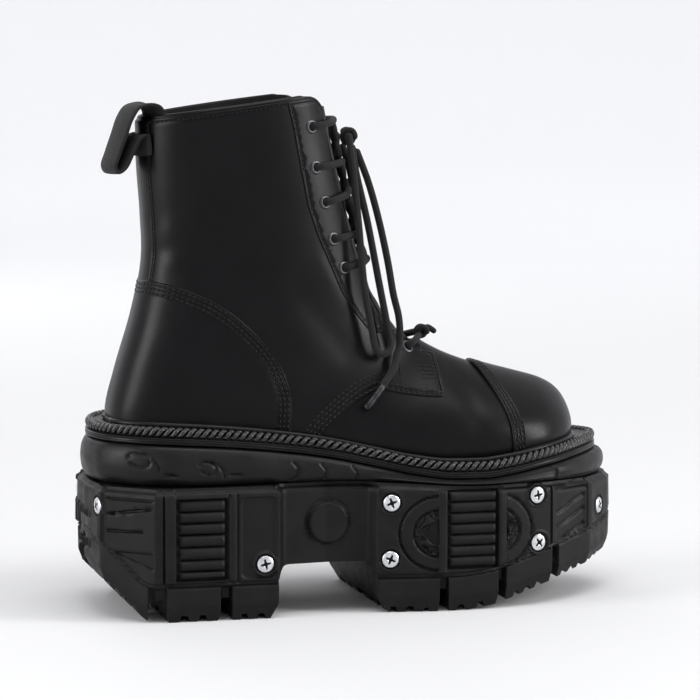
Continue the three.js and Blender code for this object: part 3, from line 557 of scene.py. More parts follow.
def tint(tree, value, dark, light, span=(0.35, 0.65)):
    """Colour between dark and light that follows a pattern."""
    ramp = node(tree, "ShaderNodeValToRGB")
    ramp.color_ramp.elements[0].position, ramp.color_ramp.elements[1].position = span
    ramp.color_ramp.elements[0].color = (*dark, 1)
    ramp.color_ramp.elements[1].color = (*light, 1)
    tree.links.new(value, ramp.inputs["Fac"])
    return ramp.outputs["Color"]


def calc(tree, kind, a, b=None):
    """One step of arithmetic on numbers or sockets."""
    m = node(tree, "ShaderNodeMath", operation=kind)
    for socket, value in zip(m.inputs, (a, b)):
        if value is None:
            continue
        if isinstance(value, (int, float)):
            socket.default_value = value
        else:
            tree.links.new(value, socket)
    return m.outputs["Value"]


def relief(tree, shader, height, depth_mm, strength=1.0, after=None):
    """Bump from a height pattern, on top of an earlier bump if one is given."""
    b = node(tree, "ShaderNodeBump", Strength=strength, Distance=depth_mm * MM)
    tree.links.new(height, b.inputs["Height"])
    if after is not None:
        tree.links.new(after, b.inputs["Normal"])
    tree.links.new(b.outputs["Normal"], shader.inputs["Normal"])
    return b.outputs["Normal"]


# %% [markdown]
# ### Leather
# Smooth corrected leather is nearly black, with a soft wax shine. The hide shows in three scales:
# a fine pore pattern under half a millimetre, a faint cloudiness a few millimetres across, and a
# slow change of polish over several centimetres. The lining is the same hide turned over, so it
# is matt and a little lighter.

# %% Leather finishes
def leather(name, dark, light, rough, pore=0.5, grain=0.05):
    tree, shader = finish_of(name, light, sum(rough) / 2, specular=0.13)
    where = in_mm(tree)
    cloud = noise(tree, where, 22, 4)
    fine = noise(tree, where, 2.2, 4, 0.6)
    tree.links.new(tint(tree, cloud, dark, light), shader.inputs["Base Color"])
    polish = calc(tree, "ADD", calc(tree, "MULTIPLY", noise(tree, where, 38, 3), 0.7),
                  calc(tree, "MULTIPLY", fine, 0.3))
    tree.links.new(spread(tree, polish, *rough), shader.inputs["Roughness"])
    cells = node(tree, "ShaderNodeTexVoronoi", Scale=1.0 / pore)
    cells.feature = "SMOOTH_F1"
    tree.links.new(where, cells.inputs["Vector"])
    first = relief(tree, shader, cells.outputs["Distance"], grain, 0.35)
    relief(tree, shader, fine, 0.12, 0.30, after=first)


leather("smooth_leather", (0.0014, 0.0014, 0.0018), (0.0024, 0.0024, 0.0029), (0.28, 0.4))
leather("tongue_leather", (0.0020, 0.0021, 0.0024), (0.0034, 0.0035, 0.0039), (0.44, 0.58))
leather("lining_leather", (0.006, 0.006, 0.0064), (0.011, 0.011, 0.0116), (0.7, 0.88), 0.8, 0.08)
print("leathers", [m for m in MATERIALS if "leather" in m])

# %% [markdown]
# ### Rubber, thread, cord and metal
# Moulded rubber has a satin skin with a faint mottle from the mould. Lace and webbing are woven:
# two sets of diagonal yarns that pass over and under each other, which a pair of crossed sine
# waves in the piece's own unrolled coordinates gives.
# Metal gets fine brushing and small differences in polish.

# %% Rubber and thread finishes
def rubber(name, dark, light, rough, mottle=0.08):
    tree, shader = finish_of(name, light, sum(rough) / 2, specular=0.17)
    where = in_mm(tree)
    tree.links.new(tint(tree, noise(tree, where, 14, 5, 0.6), dark, light), shader.inputs["Base Color"])
    fine = noise(tree, where, 0.9, 3, 0.6)
    tree.links.new(spread(tree, noise(tree, where, 6, 4), *rough), shader.inputs["Roughness"])
    relief(tree, shader, fine, mottle, 0.45)


rubber("sole_rubber", (0.0030, 0.0030, 0.0033), (0.0062, 0.0062, 0.0067), (0.42, 0.6))
rubber("midsole_rubber", (0.0034, 0.0034, 0.0037), (0.0066, 0.0066, 0.0071), (0.34, 0.5), 0.05)
rubber("welt_rubber", (0.0030, 0.0030, 0.0033), (0.0060, 0.0060, 0.0065), (0.30, 0.44), 0.05)


def thread(name, dark, light, rough, specular):
    tree, shader = finish_of(name, light, sum(rough) / 2, specular=specular)
    where = in_mm(tree)
    tree.links.new(tint(tree, noise(tree, where, 3, 2), dark, light), shader.inputs["Base Color"])
    tree.links.new(spread(tree, noise(tree, where, 5, 2), *rough), shader.inputs["Roughness"])
    twist = node(tree, "ShaderNodeTexWave", Scale=0.9, Distortion=1.5)
    twist.bands_direction = "DIAGONAL"
    tree.links.new(where, twist.inputs["Vector"])
    relief(tree, shader, twist.outputs["Fac"], 0.12, 0.5)


thread("waxed_thread", (0.0012, 0.0012, 0.0014), (0.0026, 0.0026, 0.0029), (0.26, 0.5), 0.22)
thread("braid_thread", (0.0018, 0.0018, 0.0020), (0.0040, 0.0040, 0.0044), (0.12, 0.34), 0.55)


# %% Woven finishes
def woven(name, dark, light, along, across, deep, rough=0.8, sheen=0.15):
    tree, shader = finish_of(name, light, rough, specular=0.2, sheen=sheen)
    shader.inputs["Sheen Roughness"].default_value = 0.5
    where = in_mm(tree, "UV")
    split = node(tree, "ShaderNodeSeparateXYZ")
    tree.links.new(where, split.inputs["Vector"])
    a = calc(tree, "MULTIPLY", split.outputs["X"], math.pi / along)
    b = calc(tree, "MULTIPLY", split.outputs["Y"], math.pi / across)
    first = calc(tree, "ABSOLUTE", calc(tree, "SINE", calc(tree, "ADD", a, b)))
    second = calc(tree, "ABSOLUTE", calc(tree, "SINE", calc(tree, "SUBTRACT", a, b)))
    yarn_relief_and_shade = calc(tree, "POWER", calc(tree, "MULTIPLY", first, second), 0.6)
    # painted shade: the colour follows the yarn height, dark in the hollows between the yarns and lighter on
    # their crowns
    tree.links.new(tint(tree, yarn_relief_and_shade, dark, light, (0.15, 0.8)), shader.inputs["Base Color"])
    tree.links.new(spread(tree, noise(tree, where, 1.5, 3), rough - 0.08, rough + 0.08),
                   shader.inputs["Roughness"])
    relief(tree, shader, yarn_relief_and_shade, deep, 0.9)


woven("lace_cord", (0.0025, 0.0025, 0.0028), (0.0095, 0.0095, 0.010), 1.5, 1.05, 0.35, 0.8, 0.05)
woven("webbing", (0.0025, 0.0025, 0.0028), (0.010, 0.010, 0.0104), 1.1, 0.9, 0.3, 0.8, 0.05)
woven("insole_cloth", (0.008, 0.008, 0.0084), (0.016, 0.016, 0.0165), 1.0, 1.0, 0.12, 0.9, 0.08)


# %% Metal finishes
def metal(name, colour, rough):
    tree, shader = finish_of(name, colour, rough, metallic=1.0)
    where = in_mm(tree)
    streaks = noise(tree, where, 0.8, 4, 0.6)
    darker = tuple(c * 0.8 for c in colour)
    tree.links.new(tint(tree, noise(tree, where, 4, 3), darker, colour), shader.inputs["Base Color"])
    tree.links.new(spread(tree, streaks, rough * 0.8, rough * 1.3), shader.inputs["Roughness"])
    relief(tree, shader, streaks, 0.03, 0.3)


metal("bright_steel", (0.72, 0.73, 0.75), 0.24)
# painted shade: dark steel for the flat caps laid in the screw crosses
metal("screw_recess", (0.012, 0.012, 0.013), 0.5)
metal("gunmetal", (0.075, 0.075, 0.08), 0.34)
metal("zip_metal", (0.06, 0.06, 0.063), 0.36)
metal("aglet_metal", (0.035, 0.035, 0.037), 0.38)
print("finishes", len(MATERIALS))

# %% [markdown]
# ## Laces
# The lace is a round woven cord of 4 mm. What hangs free comes first, because it settles how much
# room the boot needs: two loops of the bow and two ends, all leaving the knot in front of the
# tongue. They hang down close to the leather, so each route is written as places on the last, with
# the distance from the front line and the distance off the leather.

# %% Routes of the free lace
LACE_D = 4.0
LACE_RUNS = {
    "lace_loop_lateral": [
        (.082, -10.5, 7.6), (.12, -16, 8), (.2, -23, 8.4), (.3, -30, 8.4), (.395, -36.1, 7.4),
        (.439, -39.9, 6.9),
        (.463, -41.1, 6.6), (.484, -39.7, 6.4), (.484, -35.6, 6.6), (.465, -31.6, 6.9), (.414, -26.5, 7.2),
        (.3, -17, 7.4), (.2, -9.5, 7), (.13, -5, 7), (.099, -7.5, 7.8)],
    "lace_loop_medial": [
        (.082, 10.5, 7.6), (.12, 15, 8), (.2, 24, 8.6), (.28, 34, 8.6), (.35, 40, 7.6), (.39, 36, 7),
        (.375, 27, 7.2), (.3, 17, 7.4), (.2, 8, 7.2), (.13, 5.5, 7.4), (.099, 8, 8)],
    "lace_end_lateral": [
        (.108, -.5, 11), (.15, -3.5, 12.6), (.2, -6.5, 13), (.27, -10.5, 12.4), (.34, -14.5, 11.4),
        (.4, -18, 10), (.45, -22.5, 8), (.495, -28.5, 6.4), (.52, -35, 6), (.545, -41, 5.8),
        (.5645, -51.5, 5.4), (.5775, -61.5, 5.1), (.588, -72.6, 5)],
    "lace_end_medial": [
        (.108, 2, 11.2), (.14, 10, 13.4), (.18, 25, 14), (.22, 40, 13), (.28, 52, 9.5), (.38, 56, 7),
        (.46, 61, 5.8), (.52, 68, 5.2), (.56, 76, 5)]}


def on_last(rows):
    """Places from rows of v, mm from the front line and mm off the last."""
    v, mm, off = np.array(rows, float).T
    return surf(u_at(v, mm), v, off)


laces = {}
for name, rows in LACE_RUNS.items():
    route = resample(catmull(on_last(rows), 10), step=1.3)
    points, faces, uv = tube(route, LACE_D / 2, 12)
    laces[name] = (make_piece(name + "_cord", points, faces, "lace_cord", "lace", uv=uv, replaces=(name,),
                              sharp=0), route)
    length = np.linalg.norm(np.diff(route, axis=0), axis=1).sum()
    print(name, "is", round(length), "mm long")

# %% [markdown]
# The knot is the lace itself wound round the two loops, so it is a short helix pulled tight. Each
# end finishes in an aglet, a thin tube crimped on the cord, which stops it fraying.

# %% Knot and aglets
knot_at = surf(0.0, 0.084, 8.0)
turn = np.linspace(0, 2.35 * 2 * math.pi, 60)
wrap = knot_at + np.stack([2.5 * np.cos(turn), np.interp(turn, [0, turn[-1]], [-4.2, 4.2]),
                           3.3 * np.sin(turn)], 1)
points, faces, uv = tube(wrap, 1.9, 12)
knot = make_piece("lace_knot_wrap", points, faces, "lace_cord", "lace", uv=uv, replaces=("lace_knot",),
                  sharp=0)
for name in ("lace_end_lateral", "lace_end_medial"):
    route = laces[name][1]
    tail = resample(route[-12:], count=14)
    radius = np.full(14, 2.22)
    radius[[0, 1, 12, 13]] = 2.12, 2.22, 2.2, 2.02
    radius[[4, 8]] = 2.08
    points, faces, uv = tube(tail, radius, 12)
    make_piece(name.replace("lace_end", "aglet"), points, faces, "aglet_metal", "lace",
                              sharp=30)

print("cords", len(laces))

# %% [markdown]
# ## Outsole
# A lug sole like this is moulded in one block. Its sides are flat facets carrying sunk panels, ribs,
# a split wheel emblem and screw seats. Each side is a sheet of points over the block's outline and
# its height, pushed in or out by small rules, one rule for each feature. Extra rows and columns
# stand at the panels' edges so those edges come out crisp.

# %% Rules for relief
def step(t, at, soft=0.5):
    """0 before a place and 1 after it, over a short ramp."""
    return smooth((t - at) / soft + 0.5)


def band(t, low, high, soft=0.5):
    """1 between two places and 0 outside them, over short ramps."""
    return step(t, low, soft) * (1 - step(t, high, soft))


def channel(d, half):
    """Rounded groove of that half width, 1 at its bottom."""
    return np.clip(1 - (d / half) ** 2, 0, 1) ** 0.6


def to_line(x, z, line):
    """Distance to an open polyline."""
    best = np.full(np.shape(x), 1e9)
    for (ax, az), (bx, bz) in zip(line[:-1], line[1:]):
        dx, dz = bx - ax, bz - az
        t = np.clip(((x - ax) * dx + (z - az) * dz) / (dx * dx + dz * dz), 0, 1)
        best = np.minimum(best, np.hypot(x - ax - t * dx, z - az - t * dz))
    return best


def rounded_box(x, z, cx, cz, hx, hz, r):
    """Signed distance to a rounded rectangle, negative inside."""
    qx, qz = np.abs(x - cx) - hx + r, np.abs(z - cz) - hz + r
    return np.hypot(np.maximum(qx, 0), np.maximum(qz, 0)) + np.minimum(np.maximum(qx, qz), 0) - r


SCREWS = {"heel_side": (-64, 30), "heel_back": (-150.7, 61), "fore_rear_high": (6.5, 60.5),
          "fore_rear_low": (6, 29.5), "fore_front_high": (91, 61.5), "fore_front_low": (92, 35),
          "toe": (138.5, 49.5)}
SCREW_SEAT = 5.2
LUG_GAPS = [(-128, -117.5), (-88.5, -82), (33, 38.5), (67, 72), (101, 106)]
NOTCHES = [     # place along the sole, half width
    (-147, 0.9), (-143, 0.9), (-139, 0.9), (-135, 0.9), (-108, 2.2), (-98, 2.2), (-75, 2.0), (-66, 2.0),
    (8, 2.0), (17, 2.0), (26, 1.4), (46, 2.0), (57, 2.0), (79, 1.6), (86, 1.6), (93, 1.6), (111, 1.4),
    (117, 1.4), (123, 1.4), (131, 1.0), (136, 1.0), (141, 1.0)]
HEEL_RIBS = [23, 27.3, 33.4, 40.3, 47, 53.2, 59.4, 66]     # heights of the valleys between ribs
FORE_RIBS = [24, 30, 36, 42, 48, 54, 60, 66]
SILL = 21                                   # where the lugs end and the panels start, over the ground
SILL_GROOVES = [(20.6, 0.75), (18.9, 0.6)]  # height over the ground, half width
HEEL_LINES = [-119.3, -83.6, -79]           # upright lines either side of the ribs
TOE_CUTS = [33.5, 42.0, 50.0]               # height of each cut's rear end
TOOTH_PITCH = 2.6                           # serrations in the heel's window
BOSS_X, BOSS_Z = -27, 50                    # round boss on the bridge
WHEEL_Z, WHEEL_STRETCH = 43.3, 1.065        # the split wheel either side of the front panel
WHEEL_HALVES = [(32.5, 8, 32.2), (66.0, 71.6, 90)]     # centre, and the stretch of wall that shows it

# columns along the block: dense, with extra ones at the features' edges
edges_x = [-128, -117.5, -119, -113, -88.5, -83.6, -82, -79, -60.5, -56, -49, -8, -1, 7.5, 14, 32, 33,
           37, 38.5, 67, 67.5, 71.5, 72, 100, 101, 103, 106, 126.5, 130]
columns = []
for (x0, l0, m0), (x1, l1, m1) in zip(BLOCK[:-1], BLOCK[1:]):
    long = max(math.hypot(x1 - x0, l1 - l0), math.hypot(x1 - x0, m1 - m0))
    t = list(np.arange(0, 1, 0.95 / long))
    for e in edges_x:
        for d in (-0.3, 0.0, 0.3):
            if x1 > x0 and x0 < e + d < x1:
                t.append((e + d - x0) / (x1 - x0))
    t = np.unique(np.round(t, 5))
    columns.append(np.stack([x0 + (x1 - x0) * t, l0 + (l1 - l0) * t, m0 + (m1 - m0) * t], 1))
columns = np.vstack(columns + [BLOCK[-1:]])


def side_of_block(which):
    """Plan points, outward normals and run along one side, with softly rounded facet corners."""
    p = columns[:, [0, which]].astype(float)
    run = run_of(p)
    even = np.linspace(0, run[-1], 1600)
    dense = at_run(even, run, p)
    weight = np.exp(-0.5 * (np.arange(-10, 11) * (even[1] - even[0]) / 0.7) ** 2)
    weight /= weight.sum()
    grown = np.vstack([dense[:1]] * 10 + [dense] + [dense[-1:]] * 10)
    soft = np.stack([np.convolve(grown[:, k], weight, "valid") for k in range(2)], 1)
    t = unit(np.gradient(soft, axis=0))
    n = np.stack([t[:, 1], -t[:, 0]], 1) * (1 if which == 1 else -1)
    return at_run(run, even, soft), unit(at_run(run, even, n)), run


def arch_z(x):
    """Underside of the bridge between heel and forefoot, as a height at x."""
    rear, front = -56 + 7, -1 - 7
    z = np.interp(x, [-60.7, -56.15, -55.99, -1.01, -0.85, 5.4], [0, 9, 21, 21, 11, 0], left=-99, right=-99)
    z = np.where((x >= -55.99) & (x < rear), 21 + np.sqrt(np.maximum(0, 49 - (x - rear) ** 2)), z)
    z = np.where((x > front) & (x <= -1.01), 21 + np.sqrt(np.maximum(0, 49 - (x - front) ** 2)), z)
    return np.where((x >= rear) & (x <= front), BRIDGE_Z, z)


def foot_z(x):
    """Underside of the block at its edge: ground, lug gaps, the arch and small siping notches."""
    g = ground(x)
    z = g.copy()
    for a, b in LUG_GAPS:
        z = np.maximum(z, g + (ground((a + b) / 2) + LUG_DEPTH - g) * band(x, a, b, 1.4))
    for at, half in NOTCHES:
        z = np.maximum(z, g + 1.6 * half * band(x, at - half, at + half, 0.6))
    return np.maximum(z, arch_z(x))


def ribs(z, valleys):
    """Round ribs between the valleys, 1 at each crest."""
    return sum(np.clip(np.sin(math.pi * np.clip((z - a) / (b - a), 0, 1)), 0, 1) ** 0.55
               for a, b in zip(valleys[:-1], valleys[1:]))


def heel_rear(h, s, z, up, above):
    """Rear panel with its window and serrations, and the arched notch in the rear lug."""
    h = h + 1.3 * band(s, 31.5, 36, 0.8) * above
    window = rounded_box(s, z, 0, 46.5, 19, 11.5, 3)
    h = h - np.where(s < 31, 1.7 * (1 - smooth(window / 0.8 + 0.5)), 0)
    teeth = channel(np.mod(s, TOOTH_PITCH) - TOOTH_PITCH / 2, 0.8)
    for low, high in ((52.5, 56.5), (36.5, 40.5)):
        h = h + np.where(s < 17.5, 1.2 * teeth * band(z, low, high, 0.5), 0)
    vee = 12 * (1 - up / 20)
    return h - np.where(s < 20, 2.8 * step(vee - s, 0, 1.0) * (1 - step(up, 17, 1)), 0)


def heel_corner(h, s, z):
    """Slanted cuts and a wedge on the corner facet."""
    corner = band(s, 38.5, 66.5, 0.8)
    h = h - 1.5 * corner * channel(to_line(s, z, [(38, 57.5), (66, 61.5)]), 0.9)
    h = h - 1.5 * corner * channel(to_line(s, z, [(38, 48.5), (60, 49)]), 0.9)
    wedge = np.minimum((38 - z), (z - (37.6 - 0.34 * (s - 40))))
    h = h - 1.8 * corner * smooth(wedge / 0.7)
    return h - 1.2 * corner * channel(to_line(s, z, [(38, 66), (68, 66)]), 0.8)


def heel_side(h, x, z, above):
    """Bar, ribbed panel between lines, and the sunk plate of the screw."""
    h = h + 0.7 * band(x, -119, -113.2, 0.6) * above
    h = h - 1.2 * sum(channel(x - at, 0.7) for at in HEEL_LINES) * above * (1 - step(z, 68))
    panel = band(x, -112.8, -84.2, 0.6) * band(z, 22.4, 66.6, 0.6)
    h = h + panel * (-2.7 + 2.6 * ribs(z, HEEL_RIBS) * band(x, -111, -86, 2.4))
    plate = rounded_box(x, z, -67.6, 44.5, 9.8, 22, 4)
    return h - np.where((x > -80) & (x < -56.2), 1.1 * (1 - smooth(plate / 0.8 + 0.5)), 0)


def bridge_boss(h, x, z):
    """Round boss with a groove about it, on the plain wall of the bridge."""
    r = np.hypot(x - BOSS_X, z - BOSS_Z)
    return h + np.where(r < 16, 2.3 * (1 - smooth((r - 10.6) / 1.2)) - 0.5 * channel(r - 12.4, 0.8), 0)


def fore_side(h, x, z, above):
    """Two halves of a wheel either side of a ribbed panel, and a line in front."""
    for cx, rear_x, front_x in WHEEL_HALVES:
        q = np.hypot((x - cx) / WHEEL_STRETCH, z - WHEEL_Z)
        turn = np.arctan2(z - WHEEL_Z, x - cx)
        tread = channel(np.mod(turn * 11 + q * 0.9, 1.6) - 0.8, 0.45) * band(q, 7.2, 11.6, 0.5)
        wheel = (-1.3 * channel(q - 20.2, 0.85) - 1.2 * channel(q - 12.8, 0.75)
                 + 0.45 * band(q, 13.6, 19.3, 0.6) - 1.9 * (1 - step(q, 6.6, 0.8)) - 1.1 * tread)
        h = h + band(x, rear_x, front_x, 0.6) * wheel
    bars = band(x, 32.4, 36.8, 0.6) + band(x, 67.6, 71.4, 0.6)
    h = h + 0.6 * bars * above * (1 - step(z, 67))
    panel = band(x, 37.4, 67, 0.6) * band(z, 23.4, 66.4, 0.6)
    h = h + panel * (-2.5 + 2.4 * ribs(z, FORE_RIBS) * band(x, 39, 65.4, 2.4))
    return h - 1.3 * channel(x - 100.2, 0.8) * above * (1 - step(z, 66))


def toe_front(h, x, z, up, above):
    """Sunk facet with slanted cuts, then a ridge at the front corner."""
    facet = band(x, 103.5, 125.2, 0.8) * band(up, 21.5, 50, 0.8)
    h = h - 0.7 * facet
    for low in TOE_CUTS:
        h = h - 1.3 * facet * channel(to_line(x, z, [(104.5, low), (124.5, low + 8.5)]), 1.0)
    h = h - 1.2 * channel(to_line(x, z, [(103, 63.5), (126, 62.5)]), 0.8)
    return h + 0.9 * band(x, 126.6, 130.4, 0.8) * above


def screw_seats(h, s, z, run_at):
    """Level round seats with a raised rim; s and run_at measure along the wall."""
    for sx, sz in SCREWS.values():
        d = np.hypot(s - run_at(sx), z - sz)
        levelled = np.where(d < 7.4, h * (1 - step(d, 6.6, 0.6)), 0)
        h = h - 1.5 * (1 - smooth((d - SCREW_SEAT) / 0.6 + 0.5)) - levelled
        h = h + 0.45 * band(d, 5.7, 6.9, 0.5)
    return h


def wall_relief(x, s, z, run_at):
    """How far the moulded side stands out (+) or in (-), in mm; s is the run from the heel's middle."""
    up = z - ground(x)
    above = step(up, SILL)
    h = -0.9 * sum(channel(up - at, half) for at, half in SILL_GROOVES)
    for a, b in LUG_GAPS:
        h = h - 4.2 * band(x, a + 0.4, b - 0.4, 1.0) * band(up, -9, 18.4, 1)
    h = h - 1.6 * step(z, block_top(x) - 2.4, 1.4)
    h = heel_rear(h, s, z, up, above)
    h = heel_corner(h, s, z)
    h = heel_side(h, x, z, above)
    h = bridge_boss(h, x, z)
    h = fore_side(h, x, z, above)
    h = toe_front(h, x, z, up, above)
    return screw_seats(h, s, z, run_at)


# %% Sides of the outsole
rows_z = np.unique(np.concatenate([
    np.arange(-0.2, 72.2, 1.0), [19.3, 18.5, 20.2, 21.0, 22.1, 22.7, 66.3, 66.9, 23.1, 23.7],
    [a + d for a in HEEL_RIBS + FORE_RIBS for d in (-0.45, 0, 0.45)],
    [69.4, 69.9, 70.4, 70.9, 71.4]]).round(2))
top_at = block_top(columns[:, 0]) - 0.2
foot_at = foot_z(columns[:, 0])
WALLS = {}


def moved(p, n, d, z):
    """Plan points p moved by d along n, at heights z."""
    return np.stack([p[:, 0, None] + n[:, 0, None] * d, p[:, 1, None] + n[:, 1, None] * d, z], -1)


def wall_points(which, z):
    """Points of one side at heights z, an array of columns by rows."""
    p, n, run = side_of_block(which)
    x = columns[:, 0]
    order = np.argsort(x, kind="stable")
    run_at = lambda q: np.interp(q, x[order], run[order])
    g, top = ground(x)[:, None], block_top(x)[:, None]
    up = (z - g) / (top - g)
    inset = np.interp(up, [0, 0.12, 0.5, 0.93, 1.0], [2.4, 0.25, 0.0, 0.4, 1.8])
    h = wall_relief(x[:, None] + 0 * z, run[:, None] + 0 * z, z, run_at) - inset
    return moved(p, n, h, z)


for name, which in (("outer", 1), ("inner", 2)):
    z = np.clip(rows_z[None, :], foot_at[:, None], top_at[:, None])
    WALLS[name] = wall_points(which, z)
    points, faces = clean(WALLS[name], grid_faces(len(columns), len(rows_z), flip=(which == 1)))
    side_piece = make_piece(f"outsole_{name}_side", points, faces, "sole_rubber", "sole_rubber", sharp=50)
    print(side_piece.name, len(faces), "faces")

# %% [markdown]
# The underside is a second sheet. It runs from the lower edge of one side to the lower edge of the
# other, so the lugs and the bridge close without a gap. Across the middle it carries the tread:
# a long channel, cross cuts between the lugs, and fine siping that helps the rubber to bend.

# %% Underside and lid of the outsole
ACROSS, LID_ACROSS = 52, 9
w = np.linspace(0, 1, ACROSS + 1)
left, right = WALLS["outer"][:, 0], WALLS["inner"][:, 0]
under = left[:, None] + (right - left)[:, None] * w[None, :, None]
x, y = under[..., 0], under[..., 1]
middle = (left[:, 1] + right[:, 1])[:, None] / 2
inside = smooth(np.minimum(w, 1 - w) * 14)[None, :]
on_lug = (foot_at < ground(columns[:, 0]) + 3)[:, None]
off_mid = np.abs(y - middle)
tread = 5.0 * (1 - smooth((off_mid - 3.4) / 1.2)) + 2.2 * channel(off_mid - 21, 1.6) * (off_mid > 10)
cross_cuts = channel(np.mod(x * 0.92 + off_mid * 0.4, 13) - 6.5, 1.5)
tread = tread + 3.2 * cross_cuts * (off_mid > 6) * (off_mid < 40)
under[..., 2] += np.where(on_lug, tread * inside, 0)
lid_left, lid_right = WALLS["outer"][:, -1], WALLS["inner"][:, -1]
lid = lid_left[:, None] + (lid_right - lid_left)[:, None] * np.linspace(0, 1, LID_ACROSS)[None, :, None]
points, faces = join_parts([clean(under, grid_faces(len(columns), ACROSS + 1)),
                            clean(lid, grid_faces(len(columns), LID_ACROSS, flip=True))])
make_piece("outsole_tread", points, faces, "sole_rubber", "sole_rubber", sharp=50, replaces=("outsole",))
print("tread", len(faces), "faces")

# %% [markdown]
# ## Screws
# Fourteen cross-head screws are pressed into the sole's sides. A screw head is a shallow dome with
# a cross driven into it, so it is made as rings of points whose height falls inside the cross.
# A dark flat cap laid in each cross is painted shade for the recess.

# %% Screw heads
HEAD_RINGS = np.array([0, .1, .2, .28, .34, .4, .46, .52, .58, .64, .72, .82, .9, .96, 1, 1.0])
HEAD_SIDES = 64


def screw_head(radius=4.5, rise=1.25):
    """Points and faces of one head, its axis along +Z."""
    r = radius * HEAD_RINGS
    rr, aa = np.meshgrid(r, around(HEAD_SIDES), indexing="ij")
    x, y = rr * np.cos(aa), rr * np.sin(aa)
    dome = rise - 0.55 * (rr / radius) ** 2 - 0.35 * smooth((rr / radius - 0.86) / 0.14)
    arm = np.minimum(np.abs(x), np.abs(y))
    reach = np.maximum(np.abs(x), np.abs(y))
    half = 0.62 - 0.08 * reach
    cross = (1 - smooth((arm - half) / 0.3 + 0.5)) * (1 - smooth((reach - 2.75) / 0.35 + 0.5))
    core = 1 - smooth((rr - 1.15) / 0.4 + 0.5)
    z = dome - 1.25 * np.maximum(cross * (1 - 0.25 * reach / 2.75), core)
    z[-1] = -1.2
    points = np.stack([x, y, z], -1).reshape(-1, 3)
    return clean(points, grid_faces(len(r), HEAD_SIDES, close_cols=True))


def seat_frame(which, x, z):
    """Centre and axes of a screw seat on one side."""
    p, n, run = side_of_block(which)
    order = np.argsort(columns[:, 0], kind="stable")
    at = np.interp(x, columns[order, 0], run[order])
    (px, py), (nx, ny) = at_run(at, run, p), at_run(at, run, n)
    out = np.array([nx, ny, 0]) / math.hypot(nx, ny)
    level = np.cross([0, 0, 1], out)
    return np.array([px, py, z]), np.stack([level, [0, 0, 1], out], 1)


turns_of_screw = dict(zip(SCREWS, (12, 35, 20, 68, 8, 40, 25)))
ARM, ARM_HALF, ARM_TIP, CROSS_SHADE_AT = 2.45, 0.62, 0.34, 1.13
HEAD_SUNK, INNER_TURN = [0, 0, -0.45], 31     # the inner screws stand turned by 31 degrees more
quarter_arm = [(ARM_HALF, ARM_HALF), (ARM_TIP, ARM), (-ARM_TIP, ARM)]
# painted shade: a flat dark cap shaped like the cross sits just inside each head, so the recess reads dark
# against the bright steel
cross_shade_cap = np.array([(x * math.cos(a) - y * math.sin(a), x * math.sin(a) + y * math.cos(a), CROSS_SHADE_AT)
                   for a in np.arange(4) * math.pi / 2 for x, y in quarter_arm])
cross_shade_caps = []
for side_name, which in (("lateral", 1), ("medial", 2)):
    for name, (sx, sz) in SCREWS.items():
        points, faces = screw_head()
        a = math.radians(turns_of_screw[name] + (INNER_TURN if which == 2 else 0))
        spin = np.array([[math.cos(a), -math.sin(a), 0], [math.sin(a), math.cos(a), 0], [0, 0, 1]])
        centre, axes = seat_frame(which, sx, sz)
        placed = (points @ spin.T + HEAD_SUNK) @ axes.T + centre
        cross_shade_caps.append(((cross_shade_cap @ spin.T + HEAD_SUNK) @ axes.T + centre, [list(range(12))]))
        node_name = f"screw_{name}_{side_name}"
        make_piece(f"head_{name}_{side_name}", placed, faces, "bright_steel", "screw_steel", sharp=40,
                   replaces=(node_name,))
make_piece("screw_cross_shade_caps", *join_parts(cross_shade_caps), "screw_recess", "screw_steel", sharp=0)
print("screws", 2 * len(SCREWS))

# %% [markdown]
# ## Midsole
# The midsole is a fat moulded roll round the heel. It thins to nothing at the instep and comes back
# as a bumper at the toe. Soft leaf shapes and crescents are sunk in its side. Because it follows one
# outline all the way round, it is a ring of points with a rounded profile.

# %% Outline rings
outline_control = np.vstack([[154, 9], OUTLINE[::-1, :2], [-154, 0], OUTLINE[:, [0, 2]]])
outline_dense = catmull(outline_control, 30, closed=True)


def outline(count):
    """Evenly spaced plan points and inward directions of the outline, running clockwise from the toe."""
    p = resample(outline_dense, count=count + 1, closed=True)
    t = unit(np.roll(p, -1, 0) - np.roll(p, 1, 0))
    return p, np.stack([t[:, 1], -t[:, 0]], 1)


def toeward(x):
    """0 behind the ball and 1 at the toe, where the layers step further in."""
    return smooth((x - 95) / 50)


def ring_sheet(count, rows, low, high, toe_inset=0.0, relief_at=None):
    """Grid of points round the sole; rows are (inset, share of the height)."""
    p, inward = outline(count)
    inset, up = np.array(rows, float).T
    d = inset[None, :] + toe_inset * toeward(p[:, 0])[:, None]
    lo, hi = low(p[:, 0])[:, None], high(p[:, 0])[:, None]
    z = lo + (hi - lo) * up[None, :]
    if relief_at is not None:
        d = d - relief_at(p[:, 0][:, None] + 0 * z, p[:, 1][:, None] + 0 * z, z, up[None, :] + 0 * z)
    return moved(p, inward, d, z)


# %% Midsole roll
ROLL = catmull([(8, 0), (5.2, 0.015), (2.6, 0.1), (1.0, 0.28), (0.5, 0.5), (0.9, 0.7), (2.3, 0.88),
                (4.2, 0.975), (7.5, 1.0)], 5)     # inset from the outline, share of the height


def leaf(cx, cz, size=1.0):
    """Lines of one leaf mark: an open loop and a tail."""
    arc = np.linspace(-2.9, 2.5, 18)
    eye = [(cx + size * 5.4 * math.cos(a + 0.5), cz + size * 3.7 * math.sin(a + 0.2)) for a in arc]
    tail = catmull([(cx + size * p, cz + size * q)
                    for p, q in ((2.6, 3.6), (6.6, 1.6), (9.2, -1.4), (10.6, -5.6))], 5)
    return eye, [tuple(p) for p in tail]


